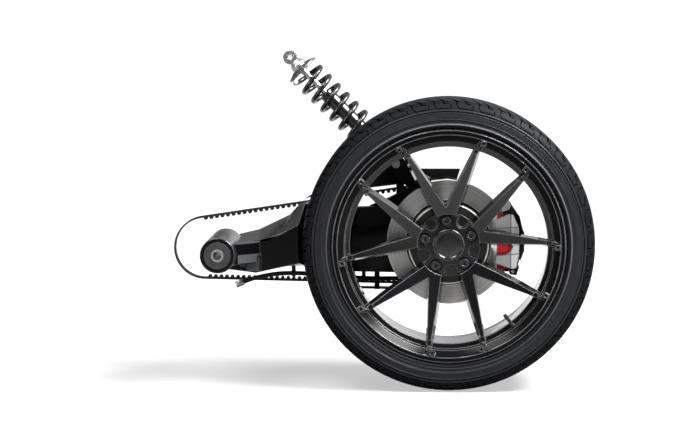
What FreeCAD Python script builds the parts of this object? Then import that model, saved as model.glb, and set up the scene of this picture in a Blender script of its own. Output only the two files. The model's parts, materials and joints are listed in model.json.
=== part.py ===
"""Rear wheel and single-sided swingarm unit of a three-wheeled roadster.

Millimetres.  X runs rearwards, Y to the vehicle's right, Z up.  The origin is
the middle of the swingarm pivot.  The wheel face looks along -Y, and the arm,
the belt and the shock stand on the +Y side of the tyre.
"""
import FreeCAD, Part
import Sketcher
import math
import os

V = FreeCAD.Vector
doc = FreeCAD.newDocument("rear_wheel_unit")
sheet = doc.addObject("Spreadsheet::Sheet", "sizes")

SIZES = {
    # axle, measured from the swingarm pivot
    "axle_x": 545,
    "axle_z": 25,
    # tyre
    "tyre_radius": 345.5,
    "tyre_width": 305,
    "tread_groove": 7.5,
    "groove_half": 3.5,
    # rim barrel
    "rim_half": 150,
    "lip_radius": 276,
    "lip_inner": 262,
    "bead_radius": 254,
    "bead_half": 139.5,
    "step_radius": 245,
    "step_depth": 36,
    "drop_radius": 233,
    "drop_wall": 6,
    "barrel_radius": 247,
    # rim centre
    "hub_face": 75,
    "hub_bore": 37.3,
    "recess_radius": 73,
    "recess_floor": 96,
    "spoke_root": 114,
    "spoke_tip": 148,
    "notch_start": 83,
    "notch_slope": 29.4,
    "notch_draft": 5,
    "window_start": 61,
    "window_half": 30,
    "window_slope": 11.45,
    "window_draft": 12.2,
    "cup_centre": 62,
    "cup_round": 19,
    "cup_draft": 12,
    "cup_floor": 86,
    "tip_centre": 254,
    "tip_angle": 22.8,
    "tip_side": 13.5,
    "step_start": 226,
    "step_stop": 241,
    "tip_hole": 5.8,
    "first_lug": 94.5,
    "lug_circle": 57.15,
    "lug_pocket": 14.5,
    "lug_seat": 86,
    "lug_count": 5,
    # lug nuts and studs
    "nut_radius": 10.6,
    "nut_length": 23,
    "nut_key": 6.6,
    "key_depth": 7,
    "stud_reach": 12,
    "stud_radius": 6,
    # centre cap
    "cap_radius": 39,
    "cap_face": 116,
    # hub and axle shaft
    "flange_radius": 70,
    "flange_thick": 12,
    "shaft_radius": 25,
    "shaft_end": 246,
    # brake disc
    "disc_radius": 147,
    "disc_inner": 102,
    "disc_face": 40,
    "disc_thick": 24,
    "disc_plate": 8,
    "hat_radius": 96,
    "hat_wall": 8,
    "vane_count": 30,
    # brake caliper
    "caliper_outer": 168,
    "piston_x": 126,
    "piston_z": 3,
    "piston_radius": 27,
    "finger_face": 72,
    # sprocket and belt
    "belt_middle": 222,
    "belt_width": 26,
    "belt_back": 130,
    "belt_band": 4,
    "belt_tooth": 6,
    "belt_pitch": 14,
    "front_back": 78.8,
    "front_x": -59,
    "front_z": -14,
    "sprocket_gap": 0.6,
    "sprocket_teeth": 57,
    "sprocket_width": 30,
    "groove_radius": 4.2,
    # belt guards
    "guard_y": 229,
    "guard_sheet": 3,
    "guard_clear": 6,
    # hub carrier and bearings
    "carrier_radius": 62,
    "carrier_start": 4,
    "slit_width": 4,
    "arm_outer": 201,
    "arm_inner": 165,
    "bearing_outer": 45,
    "bearing_width": 24,
    "run_gap": 0.3,
    # arm
    "eye_radius": 84,
    "cross_near": -40,
    "tyre_clear": 14,
    "side_low": -70,
    "side_high": 92,
    "shock_shelf": 141,
    "pocket_depth": 24,
    "pivot_half": 130,
    "pivot_boss": 42,
    "pivot_bore": 10,
    "sleeve_radius": 15,
    "bush_radius": 24,
    "bush_length": 34,
    # shock absorber
    "shock_x": 417.5,
    "shock_z": 198,
    "shock_y": 206,
    "shock_tilt": 45,
    "shock_length": 372,
    "eye_bore": 6,
    "eye_tube": 9,
    "eye_outer": 17,
    "eye_width": 26,
    "damper_radius": 18.5,
    "seat_low": 100,
    "seat_high": 326,
    "coil_radius": 36,
    "wire_radius": 6,
    "coil_pitch": 31.5,
}

row = 0
for alias, number in SIZES.items():
    row += 1
    sheet.set("A%d" % row, alias)
    sheet.set("B%d" % row, str(number))
    sheet.setAlias("B%d" % row, alias)
doc.recompute()


class Size:
    """A number that keeps the sheet formula it was worked out from."""

    def __init__(self, value, formula=None):
        self.value = float(value)
        self.formula = formula if formula else "%.6g" % value

    def __add__(self, other):
        other = size(other)
        return Size(self.value + other.value, "(%s + %s)" % (self.formula, other.formula))

    def __sub__(self, other):
        other = size(other)
        return Size(self.value - other.value, "(%s - %s)" % (self.formula, other.formula))

    def __mul__(self, other):
        other = size(other)
        return Size(self.value * other.value, "(%s * %s)" % (self.formula, other.formula))

    def __truediv__(self, other):
        other = size(other)
        return Size(self.value / other.value, "(%s / %s)" % (self.formula, other.formula))

    def __neg__(self):
        return Size(-self.value, "(-1 * %s)" % self.formula)

    def __radd__(self, other):
        return size(other) + self

    def __rsub__(self, other):
        return size(other) - self

    def __rmul__(self, other):
        return size(other) * self

    def __float__(self):
        return self.value


def size(number):
    return number if isinstance(number, Size) else Size(number)


def cos(angle):
    angle = size(angle)
    return Size(math.cos(math.radians(angle.value)), "cos(%s * 1 deg)" % angle.formula)


def sin(angle):
    angle = size(angle)
    return Size(math.sin(math.radians(angle.value)), "sin(%s * 1 deg)" % angle.formula)


class Sizes:
    """Every alias of the sheet, as s.alias."""


s = Sizes()
for alias, number in SIZES.items():
    setattr(s, alias, Size(number, "sizes." + alias))

NODES = []


def bind(feature, name, number):
    """Set one property and tie it to the sheet."""
    number = size(number)
    if "." not in name:
        whole = isinstance(getattr(feature, name), int)
        setattr(feature, name, int(number.value) if whole else number.value)
    if "sizes." in number.formula:
        feature.setExpression(name, number.formula)


def place(thing, x=0, y=0, z=0):
    bind(thing, "Placement.Base.x", x)
    bind(thing, "Placement.Base.y", y)
    bind(thing, "Placement.Base.z", z)


def new_body(name, x=0, y=0, z=0, keep=True):
    body = doc.addObject("PartDesign::Body", name)
    body.Label = name
    if hasattr(body, "AllowCompound"):
        body.AllowCompound = True
    place(body, x, y, z)
    if keep:
        NODES.append(body)
    return body


def on_axle(name):
    return new_body(name, s.axle_x, 0, s.axle_z)


def sketch_on(body, name, plane, lift=0):
    sketch = body.newObject("Sketcher::SketchObject", name)
    flat = [part for part in body.Origin.OriginFeatures if part.Role == plane][0]
    sketch.AttachmentSupport = [(flat, "")]
    sketch.MapMode = "FlatFace"
    lift = size(lift)
    sketch.AttachmentOffset = FreeCAD.Placement(V(0, 0, lift.value), FreeCAD.Rotation())
    if "sizes." in lift.formula:
        sketch.setExpression("AttachmentOffset.Base.z", lift.formula)
    return sketch


def measure(sketch, kind, first, second, number):
    """One dimension of a sketch, tied to the sheet."""
    number = size(number)
    mark = sketch.addConstraint(Sketcher.Constraint(kind, *first, *second, number.value))
    if "sizes." in number.formula:
        sketch.setExpression("Constraints[%d]" % mark, number.formula)


def pin(sketch, shape, end, point):
    """Hold one point of the sketch at its two coordinates."""
    measure(sketch, "DistanceX", (-1, 1), (shape, end), point[0])
    measure(sketch, "DistanceY", (-1, 1), (shape, end), point[1])


def draw_outline(sketch, points):
    """A closed run of straight lines through the points."""
    first = sketch.GeometryCount
    spots = [V(float(a), float(b), 0) for a, b in points]
    count = len(spots)
    for i in range(count):
        sketch.addGeometry(Part.LineSegment(spots[i], spots[(i + 1) % count]), False)
    for i in range(count):
        sketch.addConstraint(
            Sketcher.Constraint("Coincident", first + i, 2, first + (i + 1) % count, 1))
    for i in range(count):
        pin(sketch, first + i, 1, points[i])


def draw_circle(sketch, x, y, radius):
    mark = sketch.addGeometry(
        Part.Circle(V(float(x), float(y), 0), V(0, 0, 1), float(radius)), False)
    number = size(radius)
    held = sketch.addConstraint(Sketcher.Constraint("Radius", mark, number.value))
    if "sizes." in number.formula:
        sketch.setExpression("Constraints[%d]" % held, number.formula)
    pin(sketch, mark, 3, (x, y))


def turned(body, name, points, cut=False, plane="XY_Plane"):
    """Revolve an outline of (radius, height) points about the sketch's upright axis."""
    sketch = sketch_on(body, name + "_outline", plane)
    draw_outline(sketch, points)
    kind = "PartDesign::Groove" if cut else "PartDesign::Revolution"
    feature = body.newObject(kind, name)
    feature.Profile = sketch
    feature.ReferenceAxis = (sketch, ["V_Axis"])
    feature.Angle = 360
    sketch.Visibility = False
    return feature


def extruded(body, name, draw, start, end, cut=False, taper=None, plane="XZ_Plane"):
    """A pad or pocket along Y between two levels, from a sketch in the XZ plane."""
    start = size(start)
    end = size(end)
    level = start if cut else end
    sketch = sketch_on(body, name + "_outline", plane, -level)
    draw(sketch)
    feature = body.newObject("PartDesign::Pocket" if cut else "PartDesign::Pad", name)
    feature.Profile = sketch
    bind(feature, "Length", end - start)
    if taper is not None:
        bind(feature, "TaperAngle", taper)
    sketch.Visibility = False
    return feature


def outline(points):
    return lambda sketch: draw_outline(sketch, points)


def circle(x, y, radius):
    return lambda sketch: draw_circle(sketch, x, y, radius)


def ring_of(body, name, feature, count):
    """Repeat a feature round the body's own Y axis."""
    pattern = body.newObject("PartDesign::PolarPattern", name)
    pattern.Originals = [feature]
    pattern.Axis = (feature.Profile[0], ["N_Axis"])
    pattern.Angle = 360
    bind(pattern, "Occurrences", count)
    body.Tip = pattern
    return pattern


def polar(radius, angle):
    return radius * cos(angle), radius * sin(angle)


def turned_about(points, angle):
    """Points (along, across) laid on a ray at the given angle."""
    c = cos(angle)
    k = sin(angle)
    return [(a * c - b * k, a * k + b * c) for a, b in points]


def wedge(start, half, slope, angle, end):
    """A window that widens outwards, on a ray at the given angle."""
    start = size(start)
    half = size(half)
    end = size(end)
    far = half + (end - start) * sin(slope) / cos(slope)
    return turned_about([(start, -half), (end, -far), (end, far), (start, half)], angle)


def square(radius, angle, side):
    """A square turned to face the axle."""
    half = side / 2
    low = radius - half
    high = radius + half
    return outline(turned_about(
        [(low, -half), (high, -half), (high, half), (low, half)], angle))


def slot_towards(start, end, radius, angle):
    """A slot with a round inner end, on a ray at the given angle."""
    def draw(sketch):
        spots = turned_about([
            (start, radius), (end, radius), (end, -radius), (start, -radius), (start, 0)], angle)
        flat = [V(float(a), float(b), 0) for a, b in spots]
        turn = math.radians(float(angle))
        for i in range(3):
            sketch.addGeometry(Part.LineSegment(flat[i], flat[i + 1]), False)
        sketch.addGeometry(Part.ArcOfCircle(
            Part.Circle(flat[4], V(0, 0, 1), float(radius)),
            turn + math.pi / 2, turn + 3 * math.pi / 2), False)
        join = Sketcher.Constraint
        sketch.addConstraint(join("Coincident", 0, 2, 1, 1))
        sketch.addConstraint(join("Coincident", 1, 2, 2, 1))
        sketch.addConstraint(join("Tangent", 2, 2, 3, 2))
        sketch.addConstraint(join("Tangent", 3, 1, 0, 1))
        pin(sketch, 1, 1, spots[1])
        pin(sketch, 1, 2, spots[2])
        pin(sketch, 3, 3, spots[4])
        mark = sketch.addConstraint(join("Radius", 3, float(radius)))
        sketch.setExpression("Constraints[%d]" % mark, size(radius).formula)
    return draw


def make_tyre():
    body = on_axle("tyre")
    half = s.tyre_width / 2
    tread = half * 0.866
    rise = s.tyre_radius - s.lip_radius

    def up(share):
        """A radius between the rim lip, 0, and the tread, 1."""
        return s.lip_radius + rise * share
    wall = rise * 0.16
    outer = [
        (s.bead_radius + 0.4, -s.bead_half + 20),
        (s.bead_radius + 0.4, -s.bead_half + 4.5),
        (s.bead_radius + 4.2, -s.bead_half + 0.6),
        (s.lip_radius - 1, -s.rim_half + 7.6),
        (s.lip_radius + 1, -s.rim_half + 6),
        (s.lip_radius + 1, -s.rim_half + 1),
        (up(0.07), -half + 1.5),
        (up(0.115), -half),
        (up(0.16), -half),
        (up(0.2), -half + 2.5),
        (up(0.4), -half + 1.5),
        (up(0.6), -half + 4),
        (up(0.76), -half + 8),
        (up(0.88), -tread - 5),
        (up(0.942), -tread + 2),
        (up(0.978), -tread + 18),
        (s.tyre_radius, -tread + 44),
    ]
    for middle in (-tread * 0.62, -tread * 0.2):
        floor = s.tyre_radius - s.tread_groove
        outer += [
            (s.tyre_radius, middle - s.groove_half),
            (floor, middle - s.groove_half + 1),
            (floor, middle + s.groove_half - 1),
            (s.tyre_radius, middle + s.groove_half),
        ]
    inner = [
        (s.tyre_radius - wall * 1.45, -tread + 50),
        (up(0.66), -tread + 6),
        (up(0.45), -half + wall),
        (up(0.09), -s.bead_half + 5),
    ]
    mirrored = [(radius, -height) for radius, height in outer]
    lining = [(radius, -height) for radius, height in inner]
    turned(body, "carcass", outer + mirrored[::-1] + lining[::-1] + inner)


def make_rim():
    body = on_axle("rim")
    turned(body, "centre", [
        (s.hub_bore, -s.hub_face),
        (s.hub_bore, -s.recess_floor),
        (s.recess_radius - 3, -s.recess_floor),
        (s.recess_radius, -s.spoke_root),
        (s.recess_radius + 46, -s.spoke_root - 3),
        (s.recess_radius + 96, -s.spoke_root - 10),
        (s.recess_radius + 146, -s.spoke_root - 21),
        (s.step_radius + 13, -s.spoke_tip),
        (s.step_radius + 6, -s.rim_half + 9),
        (s.step_radius + 4, -s.rim_half + 28),
        (s.drop_radius + 3, -s.rim_half + 40),
        (s.drop_radius - 35, -s.rim_half + 53),
        (s.drop_radius - 85, -s.rim_half + 62),
        (s.drop_radius - 135, -s.rim_half + 70),
        (s.window_start + 4, -s.hub_face),
    ])
    turned(body, "leg_step", [
        (s.step_start, -s.rim_half - 5), (s.step_stop, -s.rim_half - 5),
        (s.step_stop, -s.rim_half + 19), (s.step_start + 3, -s.rim_half + 22)], cut=True)
    notch = extruded(
        body, "notch",
        outline(wedge(s.notch_start, 0.5, s.notch_slope, s.first_lug, 300)),
        -s.rim_half - 5, -s.hub_face + 10, cut=True, taper=-s.notch_draft)
    ring_of(body, "notches", notch, s.lug_count)
    window = extruded(
        body, "window",
        outline(wedge(s.window_start, s.window_half, s.window_slope, s.first_lug + 36, 320)),
        -s.rim_half - 5, -s.hub_face + 10, cut=True, taper=-s.window_draft)
    ring_of(body, "windows", window, s.lug_count)
    cup = extruded(
        body, "cup", slot_towards(s.cup_centre, 100, s.cup_round, s.first_lug + 36),
        -s.spoke_root - 5, -s.cup_floor, cut=True, taper=-s.cup_draft)
    ring_of(body, "cups", cup, s.lug_count)
    pocket = extruded(
        body, "lug_pocket",
        circle(*polar(s.lug_circle, s.first_lug), s.lug_pocket),
        -s.spoke_root - 5, -s.lug_seat, cut=True)
    ring_of(body, "lug_pockets", pocket, s.lug_count)
    hole = extruded(
        body, "stud_hole",
        circle(*polar(s.lug_circle, s.first_lug), s.stud_radius + 1),
        -s.spoke_root, -s.hub_face + 5, cut=True)
    ring_of(body, "stud_holes", hole, s.lug_count)
    outer = s.bead_radius
    turned(body, "barrel", [
        (s.lip_inner, -s.rim_half),
        (s.lip_radius - 3, -s.rim_half),
        (s.lip_radius, -s.rim_half + 3),
        (s.lip_radius - 1, -s.rim_half + 7),
        (outer + 4, -s.bead_half),
        (outer, -s.bead_half + 4),
        (outer, -s.bead_half + 22),
        (s.drop_radius + s.drop_wall, -s.bead_half + 36),
        (s.drop_radius + s.drop_wall, -s.bead_half + 76),
        (outer - 2, -s.bead_half + 102),
        (outer - 2, s.bead_half - 30),
        (outer, s.bead_half - 22),
        (outer, s.bead_half - 4),
        (outer + 4, s.bead_half),
        (s.lip_radius - 2, s.rim_half - 7),
        (s.lip_radius - 1, s.rim_half - 3),
        (s.lip_radius - 5, s.rim_half),
        (s.lip_radius - 12, s.rim_half - 4),
        (s.barrel_radius + 1, s.bead_half - 4),
        (s.barrel_radius, s.bead_half - 30),
        (s.barrel_radius, -s.bead_half + 104),
        (s.drop_radius, -s.bead_half + 78),
        (s.drop_radius, -s.rim_half + s.step_depth),
        (s.step_radius, -s.rim_half + s.step_depth - 2),
        (s.step_radius + 1, -s.rim_half + 14),
        (s.step_radius + 12, -s.rim_half + 5),
    ])
    for name, side in (("left", -1), ("right", 1)):
        angle = s.first_lug + side * s.tip_angle
        block = extruded(
            body, name + "_tip", square(s.tip_centre, angle, s.tip_side),
            -s.rim_half - 0.5, -s.rim_half + 9)
        ring_of(body, name + "_tips", block, s.lug_count)
        hole = extruded(
            body, name + "_tip_hole", square(s.tip_centre, angle, s.tip_hole),
            -s.rim_half - 1, -s.rim_half + 7, cut=True)
        ring_of(body, name + "_tip_holes", hole, s.lug_count)


def make_cap():
    body = on_axle("centre_cap")
    face = s.cap_face
    turned(body, "dome", [
        (0, -face),
        (s.cap_radius - 9, -face + 0.5),
        (s.cap_radius - 8, -face + 2),
        (s.cap_radius - 5, -face + 2),
        (s.cap_radius - 4, -face + 0.8),
        (s.cap_radius - 1.5, -face + 1.5),
        (s.cap_radius, -face + 4),
        (s.cap_radius, -s.recess_floor - 0.3),
        (s.hub_bore - 1, -s.recess_floor - 0.3),
        (s.hub_bore - 1, -s.recess_floor + 2),
        (s.hub_bore - 4, -s.recess_floor + 2),
        (s.hub_bore - 4, -face + 6),
        (0, -face + 5),
    ])


def make_nuts():
    body = on_axle("lug_nuts")
    x, z = polar(s.lug_circle, s.first_lug)
    shell = extruded(
        body, "shell", circle(x, z, s.nut_radius), -s.lug_seat - s.nut_length, -s.lug_seat)
    ring_of(body, "shells", shell, s.lug_count)

    def hexagon(sketch):
        draw_outline(sketch, [
            (x + s.nut_key * cos(60 * i), z + s.nut_key * sin(60 * i)) for i in range(6)])
    key = extruded(
        body, "key", hexagon, -s.lug_seat - s.nut_length - 1,
        -s.lug_seat - s.nut_length + s.key_depth, cut=True)
    ring_of(body, "keys", key, s.lug_count)
    bore = extruded(
        body, "nut_bore", circle(x, z, s.stud_radius + 0.2),
        -s.lug_seat - s.stud_reach - 1, -s.lug_seat + 1, cut=True)
    ring_of(body, "nut_bores", bore, s.lug_count)


def make_hub():
    body = on_axle("wheel_hub")
    inner = s.hub_face - s.hat_wall
    turned(body, "hub", [
        (0, -s.recess_floor + 4),
        (s.hub_bore - 1, -s.recess_floor + 4),
        (s.hub_bore - 0.3, -s.recess_floor + 6),
        (s.hub_bore - 0.3, -inner),
        (s.flange_radius, -inner),
        (s.flange_radius, -inner + s.flange_thick),
        (46, -inner + s.flange_thick),
        (36, -inner + s.flange_thick + 16),
        (36, s.carrier_start - 6),
        (s.shaft_radius, s.carrier_start - 4),
        (s.shaft_radius, s.shaft_end - 2),
        (s.shaft_radius - 2, s.shaft_end - 2),
        (s.shaft_radius - 2, s.shaft_end + 24),
        (0, s.shaft_end + 24),
    ])
    stud = extruded(
        body, "stud_hole", circle(*polar(s.lug_circle, s.first_lug), s.stud_radius + 0.3),
        -inner - 2, -inner + s.flange_thick + 2, cut=True)
    ring_of(body, "stud_holes", stud, s.lug_count)


def make_studs():
    body = on_axle("wheel_studs")
    x, z = polar(s.lug_circle, s.first_lug)
    inner = s.hub_face - s.hat_wall
    shank = extruded(
        body, "shank", circle(x, z, s.stud_radius),
        -s.lug_seat - s.stud_reach, -inner + s.flange_thick + 0.3)
    ring_of(body, "shanks", shank, s.lug_count)
    head = extruded(
        body, "stud_head", circle(x, z, s.stud_radius + 2),
        -inner + s.flange_thick + 0.3, -inner + s.flange_thick + 4)
    ring_of(body, "stud_heads", head, s.lug_count)


def make_disc():
    body = on_axle("brake_disc")
    face = s.disc_face
    turned(body, "outer_plate", [
        (s.hub_bore + 0.3, -s.hub_face),
        (s.hat_radius - 2, -s.hub_face),
        (s.hat_radius, -s.hub_face + 2),
        (s.hat_radius, -face + 2),
        (s.disc_inner, -face + 2),
        (s.disc_inner + 1, -face),
        (s.disc_radius, -face),
        (s.disc_radius, -face + s.disc_plate),
        (s.hat_radius - s.hat_wall, -face + s.disc_plate),
        (s.hat_radius - s.hat_wall, -s.hub_face + s.hat_wall),
        (s.hub_bore + 0.3, -s.hub_face + s.hat_wall),
    ])
    vane = extruded(
        body, "vane",
        outline([
            (s.disc_inner + 4, -2), (s.disc_radius - 3, -1.5),
            (s.disc_radius - 3, 1.5), (s.disc_inner + 4, 2)]),
        -face + s.disc_plate - 0.2, -face + s.disc_thick - s.disc_plate + 0.2)
    ring_of(body, "vanes", vane, s.vane_count)
    turned(body, "inner_plate", [
        (s.disc_inner, -face + s.disc_thick - s.disc_plate),
        (s.disc_radius, -face + s.disc_thick - s.disc_plate),
        (s.disc_radius, -face + s.disc_thick),
        (s.disc_inner, -face + s.disc_thick),
    ])
    hole = extruded(
        body, "stud_hole", circle(*polar(s.lug_circle, s.first_lug), s.stud_radius + 0.6),
        -s.hub_face - 2, -s.hub_face + s.hat_wall + 2, cut=True)
    ring_of(body, "stud_holes", hole, s.lug_count)


def make_sprocket():
    body = on_axle("driven_sprocket")
    outer = s.belt_back - s.belt_band - s.sprocket_gap
    near = s.belt_middle - s.sprocket_width / 2
    far = s.belt_middle + s.sprocket_width / 2
    web = s.belt_middle + 1
    turned(body, "wheel", [
        (62, web - 6), (outer - 20, web - 6), (outer - 16, near), (outer, near),
        (outer, far), (outer - 16, far), (outer - 20, web + 6), (62, web + 6)])
    groove = extruded(
        body, "groove", circle(outer + 0.4, 0, s.groove_radius), near - 1, far + 1, cut=True)
    ring_of(body, "grooves", groove, s.sprocket_teeth)
    hole = extruded(
        body, "window", outline(wedge(74, 12, 12, Size(36), 98)), web - 8, web + 8, cut=True)
    ring_of(body, "windows", hole, 5)


def make_drive_flange():
    body = on_axle("drive_flange")
    web = s.belt_middle + 1
    bore = s.shaft_radius + 0.3
    turned(body, "flange", [
        (bore, s.arm_outer + 6), (72, s.arm_outer + 6), (72, web - 6.3), (61.7, web - 6.3),
        (61.7, web + 6), (48, web + 6), (42, s.shaft_end - 1), (bore, s.shaft_end - 1)])


def make_sprocket_bolts():
    body = on_axle("sprocket_bolts")
    web = s.belt_middle + 1
    x, z = polar(Size(67), Size(0))
    bolt = extruded(body, "bolt", circle(x, z, 5), web + 6.3, web + 13)
    ring_of(body, "bolts", bolt, 5)


def make_axle_nut():
    body = on_axle("axle_nut")
    bore = s.shaft_radius - 1.7

    def hexagon(sketch):
        draw_outline(sketch, [(32 * cos(60 * i), 32 * sin(60 * i)) for i in range(6)])
        draw_circle(sketch, 0, 0, bore)
    extruded(body, "nut", hexagon, s.shaft_end + 2.3, s.shaft_end + 20)
    turned(body, "washer", [
        (bore, s.shaft_end - 0.7), (36, s.shaft_end - 0.7), (36, s.shaft_end + 2.4),
        (bore, s.shaft_end + 2.4)])


def make_valve():
    body = on_axle("valve_stem")
    bind(body, "Placement.Base.y", -s.rim_half + s.step_depth - 9)
    body.Placement.Rotation = FreeCAD.Rotation(V(0, 1, 0), -309)
    sketch = sketch_on(body, "stem_outline", "XY_Plane")
    root = s.step_radius - 0.3
    draw_outline(sketch, [
        (root, 0), (root, 6.5), (root - 5, 6.5), (root - 9, 4), (root - 26, 4),
        (root - 26, 4.8), (root - 36, 4.8), (root - 36, 0)])
    stem = body.newObject("PartDesign::Revolution", "stem")
    stem.Profile = sketch
    stem.ReferenceAxis = (sketch, ["H_Axis"])
    stem.Angle = 360


def make_weights():
    body = on_axle("balance_weights")
    inner = s.barrel_radius - 0.3
    weight = turned(body, "weight", [
        (inner - 4, 20), (inner - 0.2, 20), (inner - 0.2, 38), (inner - 4, 38)])
    weight.Angle = 12
    body.Placement.Rotation = FreeCAD.Rotation(V(0, 1, 0), 180 + 8)


def make_arm():
    body = new_body("swingarm_arm")
    ax = s.axle_x
    az = s.axle_z
    low = s.side_low
    high = s.side_high
    shelf = s.shock_shelf
    seat = s.shock_x + 28.5
    eye = s.eye_radius
    front_top = [(200, high + 12), (178, high + 6), (153.5, 71), (77, 34), (10, 18)]
    near = sketch_on(body, "cross_near", "XZ_Plane", -s.cross_near)
    draw_outline(near, [
        (10, -40), (84, -50), (192, -26), (192, 70), (167, 57), (142, 43.5), (98, 29), (10, 16)])
    far = sketch_on(body, "cross_far", "XZ_Plane", -s.arm_inner)
    draw_outline(far, [(10, -38), (84, -52), (200, low + 14)] + front_top)
    cross = body.newObject("PartDesign::AdditiveLoft", "cross")
    cross.Profile = near
    cross.Sections = [far]
    cross.Ruled = True
    extruded(body, "side", outline(
        [(10, -38), (84, -52), (200, low + 14), (ax * 0.57, low + 2), (ax * 0.79, low),
         (ax - 25, az - eye + 1), (ax, az - eye), (ax, az + eye), (ax - 25, az + eye + 4),
         (seat + 59, shelf), (seat, shelf), (seat - 10, shelf - 7), (seat - 52, high + 20),
         (seat - 80, high + 2), (seat - 135, high)] + front_top), s.arm_inner, s.arm_outer)
    extruded(body, "eye", circle(ax, az, eye), s.arm_inner - 5, s.arm_outer)
    extruded(body, "clamp_lug", outline([
        (ax + 55, az - 37), (ax + 115, az - 37), (ax + 115, az + 37), (ax + 55, az + 37)]),
        s.arm_inner, s.arm_outer)
    extruded(body, "pivot", circle(0, 0, s.pivot_boss), -s.pivot_half, s.pivot_half)
    extruded(body, "front_block", outline([
        (63, -44), (95.5, -44), (95.5, -9.5), (63, -9.5)]), s.cross_near - 12, s.cross_near + 5)
    web = sketch_on(body, "web_outline", "XY_Plane", -24)
    draw_outline(web, [
        (0, -s.pivot_half + 12), (30, -s.pivot_half + 12), (70, s.cross_near - 38),
        (86, s.cross_near - 20), (93, s.cross_near - 4), (93, s.cross_near + 2),
        (0, s.cross_near + 2)])
    rib = body.newObject("PartDesign::Pad", "web")
    rib.Profile = web
    rib.Length = 50
    extruded(body, "tyre_room", circle(ax, az, s.tyre_radius + s.tyre_clear),
             s.cross_near - 30, s.arm_inner - 5.01, cut=True)
    extruded(body, "eye_bore", circle(ax, az, s.carrier_radius + 0.3),
             s.arm_inner - 10, s.arm_outer + 5, cut=True)
    slit = s.slit_width / 2
    extruded(body, "slit", outline([
        (ax + 55, az - slit), (ax + 125, az - slit), (ax + 125, az + slit),
        (ax + 55, az + slit)]), s.arm_inner - 5, s.arm_outer + 5, cut=True)
    extruded(body, "sleeve_bore", circle(0, 0, s.sleeve_radius + 2),
             -s.pivot_half - 5, s.pivot_half + 80, cut=True)
    extruded(body, "near_seat", circle(0, 0, s.bush_radius + 0.3),
             -s.pivot_half - 5, -s.pivot_half + s.bush_length, cut=True)
    extruded(body, "far_seat", circle(0, 0, s.bush_radius + 0.3),
             s.pivot_half - s.bush_length, s.pivot_half + 5, cut=True)
    extruded(body, "far_access", circle(0, 0, s.bush_radius + 10),
             s.pivot_half, s.arm_outer + 5, cut=True)
    floor = s.arm_outer - s.pocket_depth
    extruded(body, "pocket_front", outline([
        (110, low + 30), (196, low + 26), (196, high - 8), (176, high - 12), (150, 58),
        (112, 36)]), floor, s.arm_outer + 5, cut=True)
    extruded(body, "pocket_middle", outline([
        (212, low + 25), (ax * 0.55, low + 14), (ax * 0.55, high - 16), (212, high - 8)]),
        floor, s.arm_outer + 5, cut=True)
    extruded(body, "pocket_rear", outline([
        (ax * 0.58, low + 14), (ax - 113, low + 12), (ax - 93, az - 55), (ax - 93, az + 55),
        (ax - 105, high + 12), (seat - 46, high + 6), (ax * 0.58, high - 16)]),
        floor, s.arm_outer + 5, cut=True)


def make_pivot():
    sleeve = new_body("pivot_sleeve")
    turned(sleeve, "sleeve", [
        (s.pivot_bore, -s.pivot_half - 4), (s.sleeve_radius, -s.pivot_half - 4),
        (s.sleeve_radius, s.pivot_half + 4), (s.pivot_bore, s.pivot_half + 4)])
    bushes = new_body("pivot_bushes")
    for name, sign in (("near", -1), ("far", 1)):
        turned(bushes, name + "_bush", [
            (s.sleeve_radius + 0.3, sign * s.pivot_half - sign * s.bush_length),
            (s.bush_radius, sign * s.pivot_half - sign * s.bush_length),
            (s.bush_radius, sign * (s.pivot_half + 0.3)),
            (s.bush_radius + 8, sign * (s.pivot_half + 0.3)),
            (s.bush_radius + 8, sign * (s.pivot_half + 3)),
            (s.sleeve_radius + 0.3, sign * (s.pivot_half + 3))])


def make_carrier():
    body = on_axle("hub_carrier")
    seat = s.bearing_outer + s.run_gap
    width = s.bearing_width
    turned(body, "carrier", [
        (seat, s.carrier_start), (76, s.carrier_start), (76, s.carrier_start + 17),
        (58, s.carrier_start + 17), (54, s.arm_inner - 40), (s.carrier_radius, s.arm_inner - 20),
        (s.carrier_radius, s.arm_outer), (seat, s.arm_outer),
        (seat, s.arm_outer - width - 3), (32, s.arm_outer - width - 3),
        (32, s.carrier_start + width + 3), (seat, s.carrier_start + width + 3)])
    bearings = on_axle("wheel_bearings")
    for name, low in (("near", s.carrier_start + 2.7), ("far", s.arm_outer - width - 2.7)):
        turned(bearings, name + "_bearing", [
            (s.shaft_radius + s.run_gap, low), (s.bearing_outer, low),
            (s.bearing_outer, low + width), (s.shaft_radius + s.run_gap, low + width)])


def make_pinch_bolts():
    body = new_body("pinch_bolts")
    for i, y in enumerate((s.arm_inner + 9, s.arm_outer - 9)):
        sketch = sketch_on(body, "bolt%d_outline" % i, "XY_Plane", s.axle_z + 37.3)
        draw_circle(sketch, s.axle_x + 103, y, 7)
        head = body.newObject("PartDesign::Pad", "bolt%d" % i)
        head.Profile = sketch
        head.Length = 8


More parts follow.
